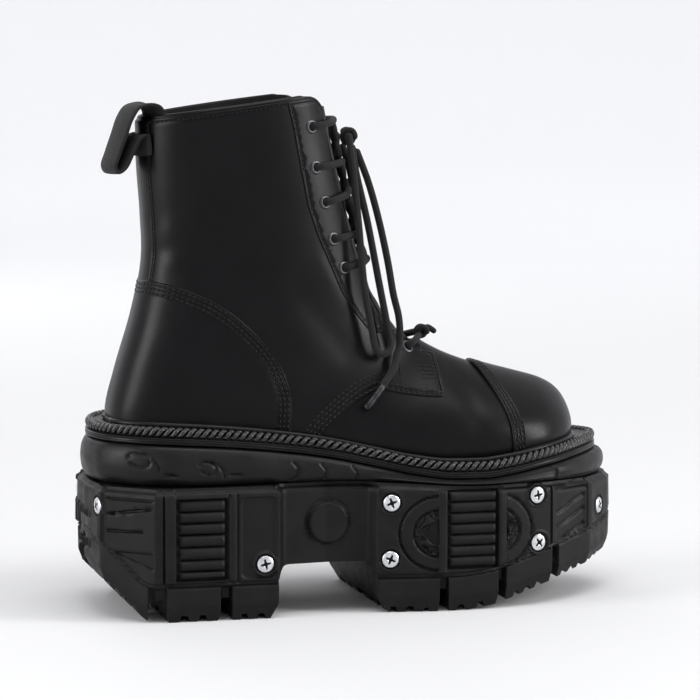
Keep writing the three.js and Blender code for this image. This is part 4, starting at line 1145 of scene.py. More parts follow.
MARKS = [*leaf(-131, 86.5), *leaf(-95, 82.5, 0.9), [(-118, 79), (-111.5, 78.3)],
         [(-82.5, 78.6), (-76, 78)],
         *[[(x - 1.6, z + 5), (x + 1.2, z + 1.5), (x + 0.8, z - 2), (x - 2.4, z - 4.5)]
           for x, z in ((-45, 78.5), (-29.5, 77), (-12.5, 75.5))]]


def roll_marks(x, y, z, up):
    h = np.zeros(np.shape(x))
    for line in MARKS:
        lx, lz = np.array(line).T
        near = (x > lx.min() - 3) & (x < lx.max() + 3) & (z > lz.min() - 3) & (z < lz.max() + 3)
        if near.any():
            h[near] -= 1.1 * channel(to_line(x[near], z[near], line), 0.95)
    h = h + 0.6 * np.exp(-((x + 149) / 2.5) ** 2) * (np.abs(y) > 8)
    fore = step(x, -2, 10) * (1 - step(x, 106, 8))
    h = h - 0.9 * fore * channel(up - 0.55, 0.22)
    h = h - 1.1 * channel(x - 104, 0.9) * band(up, 0.1, 0.9, 0.2)
    return h - 0.7 * channel(up - 0.115, 0.035) * step(x, 108, 8)


MID_COUNT, MID_TOE_IN = 800, 2.5
mid_low = lambda x: block_top(x) + 0.15
mid_high = lambda x: welt_top(x) - WELT_EDGE - 0.15
roll = ring_sheet(MID_COUNT, ROLL, mid_low, mid_high, MID_TOE_IN, roll_marks)
seat = ring_sheet(MID_COUNT, [(7.5, 1.0), (24, 1.0), (24.3, 1.9)], mid_low, mid_high, MID_TOE_IN)
points, faces = join_parts([(roll.reshape(-1, 3), grid_faces(MID_COUNT, roll.shape[1], close_rows=True)),
                            (seat.reshape(-1, 3), grid_faces(MID_COUNT, 3, close_rows=True))])
make_piece("midsole_roll", points, faces, "midsole_rubber", "midsole_rubber", sharp=45, replaces=("midsole",))
print("midsole", len(faces), "faces")

# %% [markdown]
# ## Welt
# The welt is the strip that the upper is stitched to. Its edge shows a thin lip with two fine lines,
# then a braid of waxed thread lying on the shoulder, and a smooth bead pressed against the leather.
# The braid is two strands wound round each other, made as two tubes that twist about one line.

# %% Welt, braid and bead
WELT_TOE_IN = 5.0
WELT_PROFILE = [     # inset from the outline, drop from the welt's top
    (24, -1.2), (13, -0.9), (9.6, -0.7), (8.4, -0.5), (6.4, -0.75), (5.7, -1.3), (5.2, -2.4), (5.1, -3.9),
    (4.7, -4.4), (4.1, -4.7), (3.5, -4.75), (3.25, -5.0), (3.3, -5.5), (3.6, -5.75), (3.3, -6.0),
    (3.2, -6.7), (3.55, -6.95), (3.3, -7.2), (3.35, -7.8), (3.8, -8.2), (4.8, -8.3), (24, -8.3)]
WELT_COUNT = 820
p, inward = outline(WELT_COUNT)
inset, drop = np.array(WELT_PROFILE).T
d = inset[None, :] + WELT_TOE_IN * toeward(p[:, 0])[:, None]
z = welt_top(p[:, 0])[:, None] + drop[None, :]
ring = moved(p, inward, d, z)
make_piece("welt_strip", ring, grid_faces(WELT_COUNT, len(WELT_PROFILE), close_rows=True, flip=True),
           "welt_rubber", "welt_rubber", sharp=50, replaces=("welt",))

BRAID_COUNT, BRAID_TURNS, STRAND = 1500, 86, 1.42
BRAID_IN, BRAID_DROP, SWING, RISE = 5.75, 1.75, 1.2, 1.55
p, inward = outline(BRAID_COUNT)
run = np.arange(BRAID_COUNT) / BRAID_COUNT
parts = []
for start in (0, math.pi):
    a = run * BRAID_TURNS * 2 * math.pi + start
    d = BRAID_IN + WELT_TOE_IN * toeward(p[:, 0]) + SWING * np.cos(a)
    z = welt_top(p[:, 0]) - BRAID_DROP + RISE * np.sin(a)
    centre = moved(p, inward, d[:, None], z[:, None])[:, 0]
    parts.append(tube(np.vstack([centre, centre[:1]]), STRAND, 8, round_ends=False)[:2])
points, faces = join_parts(parts)
make_piece("welt_braid", points, faces, "braid_thread", "welt_rubber", sharp=0)
print("welt", len(ring), "columns, braid", len(faces), "faces")


def feather(lift, off=0.0):
    """Where the leather meets the welt: a line round the whole boot at a height above the welt's top."""
    vs = np.concatenate([np.linspace(0.36, 0.97, 260), np.linspace(0.971, 0.9985, 60)])
    half = []
    for side in (-1, 1):
        line = []
        for v in vs:
            us = np.linspace(0.14, 0.5, 180)
            q = surf(-side * us, v, off)
            f = q[:, 2] - welt_top(q[:, 0]) - lift
            if f[-1] >= 0 or f[0] <= 0:
                continue
            k = np.nonzero((f[:-1] > 0) & (f[1:] <= 0))[0][-1]
            t = f[k] / (f[k] - f[k + 1])
            u = us[k] + t * (us[k + 1] - us[k])
            line.append((-side * u, v))
        half.append(line)
    uv = np.array(half[0] + [(1 + u if u < 0 else u, v) for u, v in half[1][::-1]])
    return surf(uv[:, 0], uv[:, 1], off)


bead_line = resample(feather(0.9, off=1.9), step=1.2, closed=True)
bead_line[:, 2] = welt_top(bead_line[:, 0]) + 0.55
points, faces, uv = tube(np.vstack([bead_line, bead_line[:1]]), 1.75, 10, round_ends=False)
make_piece("welt_bead", points, faces, "welt_rubber", "welt_rubber", sharp=0)
print("bead", len(bead_line), "rings")

# %% [markdown]
# ## Upper: shell and lining
# The upper is a hollow leather shell pulled tight over the last and open at the collar and down the
# throat. The outer skin, the rolled edge and the lining are sheets of points on the last's own
# coordinates, so the shell has one even thickness. New smooth leather has hardly any creases: only
# a few soft troughs round the ankle and across the vamp, listed as long shallow valleys.

# %% Soft troughs in the leather
TROUGHS = [
    # side, line of x and z, half width, depth (minus is a ridge)
    (-1, [(-112, 196), (-98, 203), (-80, 205)], 7, 0.55),
    (-1, [(-114, 214), (-100, 222), (-84, 225)], 8, 0.35),
    (-1, [(-108, 184), (-92, 190)], 6, 0.4), (-1, [(-40, 176), (-26, 158), (-12, 140)], 9, 0.7),
    (-1, [(-28, 190), (-16, 172), (-4, 156)], 5, -0.35), (-1, [(52, 128), (58, 112), (60, 98)], 7, 0.4),
    (-1, [(-60, 176), (-44, 158), (-34, 138)], 8, -0.3), (-1, [(20, 112), (14, 100)], 7, 0.35),
    (-1, [(-104, 150), (-96, 132), (-94, 116)], 10, -0.35),
    (1, [(-110, 200), (-92, 206), (-74, 205)], 7, 0.5), (1, [(-34, 174), (-20, 156), (-8, 140)], 8, 0.6),
    (1, [(54, 126), (60, 110)], 7, 0.4), (1, [(-108, 226), (-90, 230)], 8, 0.3)]


def creases(q):
    """Height of the soft troughs at places on the last."""
    h = np.zeros(q.shape[:-1])
    for side, line, half, deep in TROUGHS:
        d = to_line(q[..., 0], q[..., 2], line)
        here = smooth((side * q[..., 1] - 4) / 10)
        h = h - deep * np.exp(-(d / half) ** 2 * 1.4) * here
    return h


def leather_at(u, v, off=0.0):
    """Point on the worn-in outer face of the leather, a height above it in mm."""
    q = skin(u, v)
    return surf(u, v, np.asarray(off, float) + creases(q))


THROAT_END = 0.532


def throat_half(v):
    """Half the throat's width at v: round corners at the collar, a round tip at the end."""
    t = np.clip(v / THROAT_END, 0, 1)
    corner = np.clip(1 - np.asarray(v) / 0.045, 0, 1)
    tip = np.clip((t - 0.9) / 0.1, 0, 1)
    half = 23 + (15 - 23) * t + 13 * (1 - np.sqrt(1 - corner ** 2))
    return half * np.sqrt(np.maximum(0.02, 1 - tip ** 2))


# %% Shell, rolled edges and lining
def shell_grid(offs, rows_v, half_cols):
    """Rows of points from the outer throat edge, round the back, to the inner throat edge."""
    t = np.linspace(0, 1, half_cols + 1)
    us = []
    for v in rows_v:
        edge_l = u_at(v, -throat_half(v)) if v < THROAT_END else 0.0
        edge_m = -u_at(v, throat_half(v)) if v < THROAT_END else 0.0
        lateral = edge_l + (0.5 - edge_l) * t
        medial = 1 - (edge_m + (0.5 - edge_m) * t[::-1])
        us.append(np.concatenate([lateral, medial[1:]]))
    us = np.array(us)
    vs = np.repeat(np.array(rows_v)[:, None], us.shape[1], 1)
    return us, vs, surf(us, vs, creases(skin(us, vs)) + offs)


corner_v = [0, .002, .005, .009, .014, .02, .028, .036, .045]
fine_v = np.concatenate([corner_v, np.linspace(.055, .50, 112),
                         [.506, .512, .517, .521, .525, .528, .5305, .532],
                         np.linspace(.5365, .93, 96), np.linspace(.934, .985, 22),
                         [.988, .991, .994, .996, .9975, .9985, .9992]])
HALF_COLS = 96
us, vs, outer_skin = shell_grid(0.0, fine_v, HALF_COLS)
cols = outer_skin.shape[1]
tip_row = int(np.searchsorted(fine_v, THROAT_END - 1e-6))


def shell_faces(grid, flip=False):
    """Faces of a shell sheet, open down the throat and closed below it, without what the welt hides."""
    faces = grid_faces(*grid.shape[:2], flip=flip)
    seam = [[r * cols + cols - 1, r * cols, (r + 1) * cols, (r + 1) * cols + cols - 1]
            for r in range(tip_row, grid.shape[0] - 1)]
    if flip:
        seam = [f[::-1] for f in seam]
    flat = grid.reshape(-1, 3)
    hidden = flat[:, 2] < welt_top(flat[:, 0]) - 3.5
    faces = [f for f in faces.tolist() + seam if not all(hidden[a] for a in f)]
    last = grid.shape[0] * cols - cols
    tip = list(range(last, last + cols - 1))
    return flat, faces + [tip if flip else tip[::-1]]


outer_part = shell_faces(outer_skin, flip=True)
inner_skin = shell_grid(-WALL, fine_v, HALF_COLS)[2]


def rolled_edge(outer_line, inner_line, bulge):
    """Half-round strip between the outer and inner face, bulging by a vector at each point."""
    rows = []
    for t in np.linspace(0, 1, 6):
        lift = math.sin(math.pi * t) ** 0.6
        rows.append(outer_line + (inner_line - outer_line) * t + bulge * lift)
    return np.array(rows)


up_dir = skin(us[0], vs[0] - 0.004) - skin(us[0], vs[0] + 0.004)
up_dir = unit(up_dir)
ends = np.arange(cols)
fade = smooth(np.minimum(ends, cols - 1 - ends) / 4)[:, None]
collar = rolled_edge(outer_skin[0], inner_skin[0], up_dir * 0.9 * fade)
parts = [outer_part, (collar.reshape(-1, 3), grid_faces(6, cols))]
for col, sign in ((0, 1), (cols - 1, -1)):
    toward = unit(outer_skin[:tip_row + 1, col] - outer_skin[:tip_row + 1, col + sign])
    edge = rolled_edge(outer_skin[:tip_row + 1, col], inner_skin[:tip_row + 1, col],
                       toward * 0.7 * smooth(np.arange(tip_row + 1) / 8)[:, None])
    parts.append((edge.reshape(-1, 3), grid_faces(6, tip_row + 1, flip=(col == 0))))
points, faces = join_parts(parts)
upper = make_piece("upper_shell", points, faces, "smooth_leather", "upper_leather", sharp=60,
                   replaces=("upper",))
points, faces = shell_faces(inner_skin)
lining = make_piece("upper_lining", points, faces, "lining_leather", "upper_leather", sharp=60)
print("upper", len(upper.data.polygons), "lining", len(lining.data.polygons))

# %% [markdown]
# ## Overlay panels and their seams
# Boot makers lay panels over each other: the quarters with their lace tabs over the vamp, the toe
# cap over its tip, the counter over the heel, a backstay up the rear and a facing along the eyelets.
# Each panel is cut to its outline, filled with points, and lifted by a profile that depends on the
# distance from its edge: a rounded edge first, then a shallow valley under each row of stitches.
# Thread is real geometry, one small capsule for each stitch.

# %% Curves on the leather
def metric(u, v):
    """Change of place in mm for a unit step in u and in v."""
    e = 1e-4
    return (skin(u + e, v) - skin(u - e, v)) / (2 * e), (skin(u, v + e) - skin(u, v - e)) / (2 * e)


def shift(uv, along, mm):
    """Move (u, v) places by mm along vectors on the surface."""
    uv = np.array(uv, float)
    steps = max(1, int(math.ceil(abs(mm) / 1.5)))
    for _ in range(steps):
        pu, pv = metric(uv[:, 0], uv[:, 1])
        a, b, c = (pu * pu).sum(1), (pu * pv).sum(1), (pv * pv).sum(1)
        e, f = (pu * along).sum(1) * mm / steps, (pv * along).sum(1) * mm / steps
        det = np.maximum(a * c - b * b, 1e-6)
        uv[:, 0] += (e * c - f * b) / det
        uv[:, 1] += (f * a - e * b) / det
    return uv


def even(uv, step_mm, closed=False):
    """(u, v) places at even distances along their line."""
    both = np.column_stack([surf(uv[:, 0], uv[:, 1]), uv])
    return resample(both, step=step_mm, closed=closed)[:, 3:]


def inward_of(uv):
    """Directions to the inside of a closed loop of (u, v) places."""
    q = surf(uv[:, 0], uv[:, 1])
    return np.cross(normal(uv[:, 0], uv[:, 1]), unit(np.roll(q, -1, 0) - np.roll(q, 1, 0)))


STITCHES = []
STITCH_SIDES = 6
STITCH_RINGS = [     # place along the stitch, share of its thickness, height off the leather
    (-1, .35, -.32), (-.8, .85, -.08), (-.3, 1, .04), (.3, 1, .04), (.8, .85, -.08), (1, .35, -.32)]


def sew(uv, lift, pitch=3.1, long=2.25, thick=0.44, slant=0.0):
    """Row of stitches along (u, v) places, at a height above the leather."""
    uv = even(np.asarray(uv), pitch)
    q = leather_at(uv[:, 0], uv[:, 1], lift)
    n = normal(uv[:, 0], uv[:, 1])
    t = unit(np.gradient(q, axis=0))
    t = t * math.cos(slant) + np.cross(n, t) * math.sin(slant)
    side = np.cross(n, t)
    a = around(STITCH_SIDES)
    for c, tt, ss, nn in zip(q, t, side, n):
        rings = []
        for along, r, sink in STITCH_RINGS:
            mid = c + tt * along * long / 2 + nn * sink
            rings.append(mid + r * thick * (np.cos(a)[:, None] * ss + np.sin(a)[:, None] * nn))
        STITCHES.append(np.vstack(rings))


ROUND_EDGE = [0, 0.03, 0.25, 0.65, 1.1], [-0.1, 0.45, 0.82, 0.97, 1.0]


def edge_profile(high, rows=(), sunk=0.34):
    """Heights of a panel against the distance from its edge."""
    def height(d):
        h = high * np.interp(d, *ROUND_EDGE)
        for r in rows:
            h = h - sunk * channel(d - r, 0.8)
        return h
    return height


CHART_MM = np.array([250.0, 330.0])     # rough size in mm of one step in u and in v


def nearest(points, line):
    """Distance of each point to the nearest point of a line."""
    tree_of = kdtree.KDTree(len(line))
    for k, p in enumerate(line):
        tree_of.insert(p, k)
    tree_of.balance()
    return np.array([tree_of.find(p)[2] for p in points])


EDGE_RINGS = [0.05, 0.28, 0.65, 1.1]     # rings of points that round a panel's edge, mm from it


def panel(name, loop, high, rows=(), spacing=2.2, under=0.0, replaces=()):
    """Leather panel over the shell. Gives its even outline and the directions to its inside.

    loop is the outline in (u, v); rows are its stitch rows, in mm from the edge.
    """
    loop = even(np.asarray(loop), 1.15, closed=True)
    area = 0.5 * np.sum(loop[:, 0] * np.roll(loop[:, 1], -1) - np.roll(loop[:, 0], -1) * loop[:, 1])
    if area < 0:
        loop = loop[::-1]
    edge = surf(loop[:, 0], loop[:, 1])
    inward = inward_of(loop)
    rings, known = [loop], [np.zeros(len(loop))]
    height = edge_profile(high, rows)
    for d in EDGE_RINGS + sorted({round(r + k, 2) for r in rows for k in (-0.8, -0.4, 0, 0.4, 0.8)}):
        ring = shift(loop, inward, d)
        keep = nearest(surf(ring[:, 0], ring[:, 1]), edge) > d * 0.93 - 0.02
        rings.append(ring[keep])
        known.append(np.full(keep.sum(), d))
    lo, hi = (loop * CHART_MM).min(0), (loop * CHART_MM).max(0)
    gx, gy = np.meshgrid(np.arange(lo[0], hi[0], spacing), np.arange(lo[1], hi[1], spacing), indexing="ij")
    gx = gx + (np.arange(gx.shape[1]) % 2)[None, :] * spacing / 2
    inner = np.stack([gx.ravel(), gy.ravel()], 1) / CHART_MM
    q = surf(inner[:, 0], inner[:, 1])
    d = nearest(q, edge)
    free = (d > 1.9) & np.all([np.abs(d - r) > 1.3 for r in rows] or [np.ones(len(d), bool)], axis=0)
    rings.append(inner[free])
    known.append(d[free])
    uv, d = np.vstack(rings), np.concatenate(known)
    flat = uv * CHART_MM
    n = len(loop)
    made = geometry.delaunay_2d_cdt([Vector(p) for p in flat.tolist()], [(k, (k + 1) % n) for k in range(n)],
                                    [list(range(n))], 1, 1e-5)
    source = np.array([o[0] if o else -1 for o in made[3]])
    ok = source >= 0
    uv, d = uv[np.maximum(source, 0)], d[np.maximum(source, 0)]
    lift = height(d) + under
    points = leather_at(uv[:, 0], uv[:, 1], lift)
    faces = [f for f in made[2] if all(ok[a] for a in f)]
    tri = np.array(faces)
    face_n = np.cross(points[tri[:, 1]] - points[tri[:, 0]], points[tri[:, 2]] - points[tri[:, 0]])
    outward = normal(uv[tri[:, 0], 0], uv[tri[:, 0], 1])
    wrong = (face_n * outward).sum(1) < 0
    tri[wrong] = tri[wrong][:, ::-1]
    make_piece(name, points, tri, "smooth_leather", "upper_leather", sharp=70, replaces=replaces)
    print(name, len(tri), "triangles")
    return loop, inward


def sew_edge(loop, inward, rows, high, keep, under=0.0, **how):
    """Stitch rows along the part of a panel's edge where keep says so."""
    edge = surf(loop[:, 0], loop[:, 1])
    for r in rows:
        ring = shift(loop, inward, r)
        q = surf(ring[:, 0], ring[:, 1])
        good = keep(edge, loop) & (nearest(q, edge) > r * 0.95 - 0.05)
        if good.all():
            sew(np.vstack([ring, ring[:1]]), under + high - 0.2, **how)
            continue
        start = int(np.nonzero(~good)[0][0])
        order = (np.arange(len(good)) + start) % len(good)
        part = []
        for k in list(order) + [start]:
            if good[k] and k != start:
                part.append(ring[k])
                continue
            if len(part) > 3:
                sew(np.array(part), under + high - 0.2, **how)
            part = []


print("panel tools ready")

# %% Quarters with their lace tabs
QUARTER = 0.8
quarter_seam = [(43.4, 137), (43.8, 127), (43.6, 117), (41.6, 114.8), (30, 115.6), (16, 117.8), (5, 120.2),
                (-6, 115.6), (-17, 107.6), (-27, 98.6), (-33, 88), (-36, 78)]
quarter_back = [(-54, 82), (-54.5, 112), (-60, 128), (-73, 144), (-90, 157), (-108, 167)]


def rounded(points, r=2.0):
    """Polyline with each corner replaced by a short curve."""
    p = np.asarray(points, float)
    out = [p[0]]
    for a, b, c in zip(p[:-2], p[1:-1], p[2:]):
        da, dc = np.linalg.norm(a - b), np.linalg.norm(c - b)
        ra, rc = min(r, da * 0.45), min(r, dc * 0.45)
        s, e = b + (a - b) / da * ra, b + (c - b) / dc * rc
        out += [(1 - t) ** 2 * s + 2 * t * (1 - t) * b + t * t * e for t in np.linspace(0, 1, 7)]
    return np.array(out + [p[-1]])


def along_throat(side, v0, v1, inset=0.15, count=110):
    """(u, v) places down the throat's edge, packed closely near the collar."""
    v = v0 + (v1 - v0) * np.linspace(0, 1, count) ** 2.2
    return np.stack([u_at(v, side * (throat_half(v) + inset)), v], 1)


PANELS = {}
for side, where in ((-1, "outer"), (1, "inner")):
    tab_front = np.array([(v, side * mm) for v, mm in ((.507, 13.5), (.522, 11), (.536, 9.4), (.549, 10.5),
                                                       (.556, 14))])
    tab_front = np.stack([u_at(tab_front[:, 0], tab_front[:, 1]), tab_front[:, 0]], 1)
    lower = rounded(quarter_seam, 3.0)
    seam_uv = locate(lower, side)
    back_uv = locate(rounded(quarter_back, 6.0), side)
    back_u = -side * 0.468
    rear = np.stack([np.full(12, back_u), np.linspace(0.30, 0.003, 12)], 1)
    collar_v = 0.0025
    start_u = u_at(collar_v, side * (throat_half(collar_v) + 0.15))
    top = np.stack([np.linspace(back_u, start_u, 60), np.full(60, collar_v)], 1)
    loop = np.vstack([along_throat(side, collar_v + 0.0015, 0.492), tab_front, seam_uv, back_uv, rear,
                      top[1:-1]])
    PANELS[where] = panel(f"quarter_{where}", loop, QUARTER, rows=(2.0,), spacing=2.0)

# %% [markdown]
# The quarter's lower edge carries the heaviest sewing on the boot: four rows of waxed thread where
# it joins the vamp, two along the foot of the lace tab, and one up the tab's front edge. A line
# down the tab and a small bar tack hold the facing behind it.

# %% Sewing of the quarters
def quarter_sewing(where, side):
    loop, inward = PANELS[where]
    on_vamp = lambda q, uv: (q[:, 0] < 8) & (q[:, 0] > -34) & (q[:, 2] < 123) & (uv[:, 1] > 0.4)
    on_tab = lambda q, uv: (q[:, 0] > 4) & (q[:, 2] < 122) & (uv[:, 1] > 0.4)
    on_front = lambda q, uv: (q[:, 0] > 41) & (q[:, 2] < 140) & (q[:, 2] > 116)
    sew_edge(loop, inward, (2.0, 4.3, 6.6, 8.9), QUARTER, on_vamp, pitch=3.2, long=2.5, thick=0.55)
    sew_edge(loop, inward, (2.0, 4.4), QUARTER, on_tab, pitch=2.9, long=2.2, thick=0.5)
    sew_edge(loop, inward, (1.9, 3.9), QUARTER, on_front, pitch=2.6, long=1.9, thick=0.42)
    on_collar = lambda q, uv: (uv[:, 1] < 0.004)
    sew_edge(loop, inward, (2.0,), QUARTER, on_collar, pitch=2.6, long=1.9, thick=0.36)
    line = catmull(locate([(19.5, 146), (19.6, 134), (19.2, 121)], side), 8)
    sew(line, QUARTER + 0.12, pitch=2.7, long=2.0, thick=0.4)
    for z in (124.6, 126.6, 128.6, 130.6):
        tack = locate([(32.5, z), (39.5, z - 0.6)], side)
        sew(np.array([tack[0] + (tack[1] - tack[0]) * t for t in np.linspace(0, 1, 8)]), QUARTER + 0.2,
            pitch=1.9, long=1.7, thick=0.34, slant=0.7)


quarter_sewing("outer", -1)
quarter_sewing("inner", 1)
print("stitches so far", len(STITCHES))

# %% Facings along the eyelets
FACING = 0.55
facing_line = [(-48.5, 283), (-47.6, 276), (-44.5, 265), (-40.5, 245), (-35.6, 221), (-29.4, 204),
               (-23.6, 191.8), (-15.0, 172.6), (-6, 160), (3.5, 149.6)]
for side, where in ((-1, "outer"), (1, "inner")):
    line = locate(rounded(facing_line, 5.0), side)
    line = line[line[:, 1] > 0.004]
    collar_v = 0.0045
    top_u = np.interp(collar_v, line[:, 1], line[:, 0])
    start_u = u_at(collar_v, side * (throat_half(collar_v) + 0.6))
    top = np.stack([np.linspace(top_u, start_u, 14), np.full(14, collar_v)], 1)
    throat = along_throat(side, collar_v, 0.44, 0.6)
    end = np.array([throat[-1] * (1 - t) + line[-1] * t for t in np.linspace(0, 1, 8)])[1:-1]
    loop = np.vstack([throat, end, line[::-1], top[1:-1]])
    loop, inward = panel(f"facing_{where}", loop, FACING, rows=(1.9,), spacing=2.0, under=QUARTER)
    on_line = lambda q, uv: (nearest(q, surf(line[:, 0], line[:, 1])) < 0.9) & (uv[:, 1] > 0.008)
    sew_edge(loop, inward, (1.9,), FACING, on_line, under=QUARTER, pitch=2.9, long=2.1, thick=0.42)

# %% [markdown]
# The toe cap and the counter are formed over the ends of the last, so they wrap round it in one
# piece. The cap is made from lines that run from its seam to the tip of the toe: points are packed
# closely near the seam, where the stitch rows are, and spread out over the smooth dome.

# %% Toe cap
CAP = 1.55
CAP_SEAM = catmull([(66, 160), (66, 133), (69.5, 125.5), (75, 113), (78.5, 101), (79, 88), (79, 55)], 12)
CAP_ROWS = (1.9, 4.1, 6.3)
cap_u = np.linspace(-0.5, 0.5, 301)[:-1]
seam_x = lambda z: np.interp(z, CAP_SEAM[::-1, 1], CAP_SEAM[::-1, 0])
vs_try = np.linspace(0.6, 0.98, 400)
seam_v = []
for u in cap_u:
    q = skin(u, vs_try)
    f = q[:, 0] - seam_x(q[:, 2])
    k = int(np.nonzero(f > 0)[0][0])
    seam_v.append(vs_try[k - 1] - f[k - 1] * (vs_try[k] - vs_try[k - 1]) / (f[k] - f[k - 1]))
seam_v = np.array(seam_v)
seam_v = np.convolve(np.concatenate([seam_v[-4:], seam_v, seam_v[:4]]), np.ones(9) / 9, "valid")
near = sorted({0, .05, .28, .65, 1.1} | {round(r + k, 2) for r in CAP_ROWS
                                         for k in (-.8, -.55, -.3, 0, .3, .55, .8)} | {7.6, 8.4, 9.4})
rows_cap = []
for u, v0 in zip(cap_u, seam_v):
    v = np.concatenate([np.linspace(v0, 0.985, 220), np.linspace(0.9856, 0.9992, 40)])
    run = run_of(skin(u, v))
    far = near[-1] + (run[-1] - near[-1]) * np.linspace(0, 1, 46)[1:]
    rows_cap.append((np.interp(np.concatenate([near, far]), run, v), np.concatenate([near, far])))
cap_v = np.array([r[0] for r in rows_cap])
cap_d = np.array([r[1] for r in rows_cap])
cap_points = leather_at(cap_u[:, None] + 0 * cap_v, cap_v, edge_profile(CAP, CAP_ROWS)(cap_d))
last = cap_points[:, -1]
tip = last.mean(0) + [0.55, 0, 0]
cap_points = np.concatenate([cap_points, (last * 0.5 + tip * 0.5 + [0.15, 0, 0])[:, None],
                             (0 * last + tip)[:, None]], 1)
flat = cap_points.reshape(-1, 3)
low = flat[:, 2] < welt_top(flat[:, 0]) - 3.5
flat, faces = clean(flat, [f for f in grid_faces(*cap_points.shape[:2], close_rows=True).tolist()
                           if not all(low[a] for a in f)])
make_piece("toe_cap_leather", flat, faces, "smooth_leather", "upper_leather", sharp=70, replaces=("toe_cap",))
for r in CAP_ROWS:
    v_row = np.array([np.interp(r, d, v) for v, d in zip(cap_v, cap_d)])
    uv = np.stack([cap_u, v_row], 1)
    q = skin(uv[:, 0], uv[:, 1])
    sew(uv[q[:, 2] > welt_top(q[:, 0]) + 0.5], CAP - 0.2, pitch=2.9, long=2.2, thick=0.48)
print("toe cap", len(faces), "faces")

# %% Heel counter and backstay
COUNTER, BACKSTAY = 1.7, 1.35
counter_line = [(-118, 180.6), (-103.5, 177), (-83, 167.5), (-65, 152.5), (-52.5, 137), (-46, 120),
                (-45.5, 104), (-46.5, 84)]
outer_edge, inner_edge = (locate(catmull(counter_line, 8), side) for side in (-1, 1))
inner_edge[:, 0] = 1 + inner_edge[:, 0]
arch_u = np.linspace(outer_edge[0, 0], inner_edge[0, 0], 16)[1:-1]
arch_v = np.interp(arch_u, [outer_edge[0, 0], 0.5, inner_edge[0, 0]],
                   [outer_edge[0, 1], (outer_edge[0, 1] + inner_edge[0, 1]) / 2 + 0.002, inner_edge[0, 1]])
bottom_left, bottom_right = locate([(-62, 86), (-95, 92)], -1), locate([(-95, 92), (-62, 86)], 1) + [1, 0]
loop = np.vstack([outer_edge[::-1], np.stack([arch_u, arch_v], 1), inner_edge, bottom_right[::-1],
                  [(0.5, 0.44)], bottom_left[::-1]])
COUNTER_ROWS = (2.0, 4.3, 6.6)
loop, inward = panel("heel_counter_leather", loop, COUNTER, rows=COUNTER_ROWS, replaces=("heel_counter",))
visible = lambda q, uv: (q[:, 2] > welt_top(q[:, 0]) + 1) & (uv[:, 1] < 0.8)
sew_edge(loop, inward, COUNTER_ROWS, COUNTER, visible, pitch=3.0, long=2.3, thick=0.5)

STAY_HALF = 15.5
rows_v = np.linspace(0.003, 0.335, 150)
u_from_back = np.linspace(0, 0.12, 60)
back_run = [run_of(skin(np.linspace(0.5, 0.38, 60), v)) for v in rows_v]
across = np.concatenate([-STAY_HALF + np.array([0, .05, .28, .65, 1.1, 1.3, 1.6, 1.9, 2.2, 2.5, 2.8]),
                         np.linspace(-11.5, 11.5, 24),
                         STAY_HALF - np.array([2.8, 2.5, 2.2, 1.9, 1.6, 1.3, 1.1, .65, .28, .05, 0])])
stay_u = np.array([[0.5 + math.copysign(np.interp(abs(m), run, u_from_back), m) for m in across]
                   for run in back_run])
stay_v = np.repeat(rows_v[:, None], len(across), 1)
at_collar = np.interp(rows_v, [0.003, 0.0034, 0.006], [0, 0.6, 1])[:, None]
lift = edge_profile(BACKSTAY, (2.0,))(STAY_HALF - np.abs(across))[None, :] * at_collar
stay = make_piece("backstay", leather_at(stay_u, stay_v, lift), grid_faces(*stay_u.shape, flip=True),
                  "smooth_leather", "upper_leather", sharp=70)
for sign in (-1, 1):
    u = np.array([0.5 + sign * np.interp(STAY_HALF - 2.0, run, u_from_back) for run in back_run])
    sew(np.stack([u, rows_v], 1)[4:], BACKSTAY - 0.2, pitch=2.8, long=2.1, thick=0.44)
print("backstay", len(stay.data.polygons), "stitches", len(STITCHES))

# %% Stitches as one mesh
stitch_faces = grid_faces(len(STITCH_RINGS), STITCH_SIDES, close_cols=True)
per_stitch = len(STITCH_RINGS) * STITCH_SIDES
all_faces = np.vstack([stitch_faces + per_stitch * k for k in range(len(STITCHES))])
make_piece("sewing", np.vstack(STITCHES), all_faces, "waxed_thread", "upper_leather", sharp=0)
print("sewing", len(STITCHES), "stitches,", len(all_faces), "faces")

# %% [markdown]
# ## Tongue, insole and pull loop
# The tongue is soft leather on foam, so it is a closed strip with full edges. The insole is a flat
# board covered with cloth, a little dished at the heel. The pull loop is a folded webbing strap
# sewn in at the collar; it stands out from the heel and hangs over backwards.

# %% Tongue
TONGUE_ROWS, TONGUE_SIDES = 90, 48
t_v = np.linspace(0.026, 0.55, TONGUE_ROWS)
t_half = np.interp(t_v, [0.026, 0.034, 0.05], [24, 29.5, 32.2]) - 8 * t_v * (t_v > 0.05)
ring_a = around(TONGUE_SIDES)
t_across, t_lift = np.cos(ring_a), np.sin(ring_a)
t_mm = t_half[:, None] * np.sign(t_across) * np.abs(t_across) ** 0.8
t_off = -WALL - 2.45 + 1.75 * np.sign(t_lift) * np.abs(t_lift) ** 0.5 * np.ones((len(t_v), 1))
ripple = np.sin(t_v * 95) * np.exp(-((t_v - .35) / .2) ** 2)
t_off = t_off + 0.35 * (t_lift > 0) * ripple[:, None]
tongue_points = surf(u_at(t_v[:, None] + 0 * t_mm, t_mm), t_v[:, None] + 0 * t_mm, t_off)
make_piece("tongue_pad", tongue_points, capped_faces(TONGUE_ROWS, TONGUE_SIDES), "tongue_leather",
           "tongue_leather", sharp=60, replaces=("tongue",))

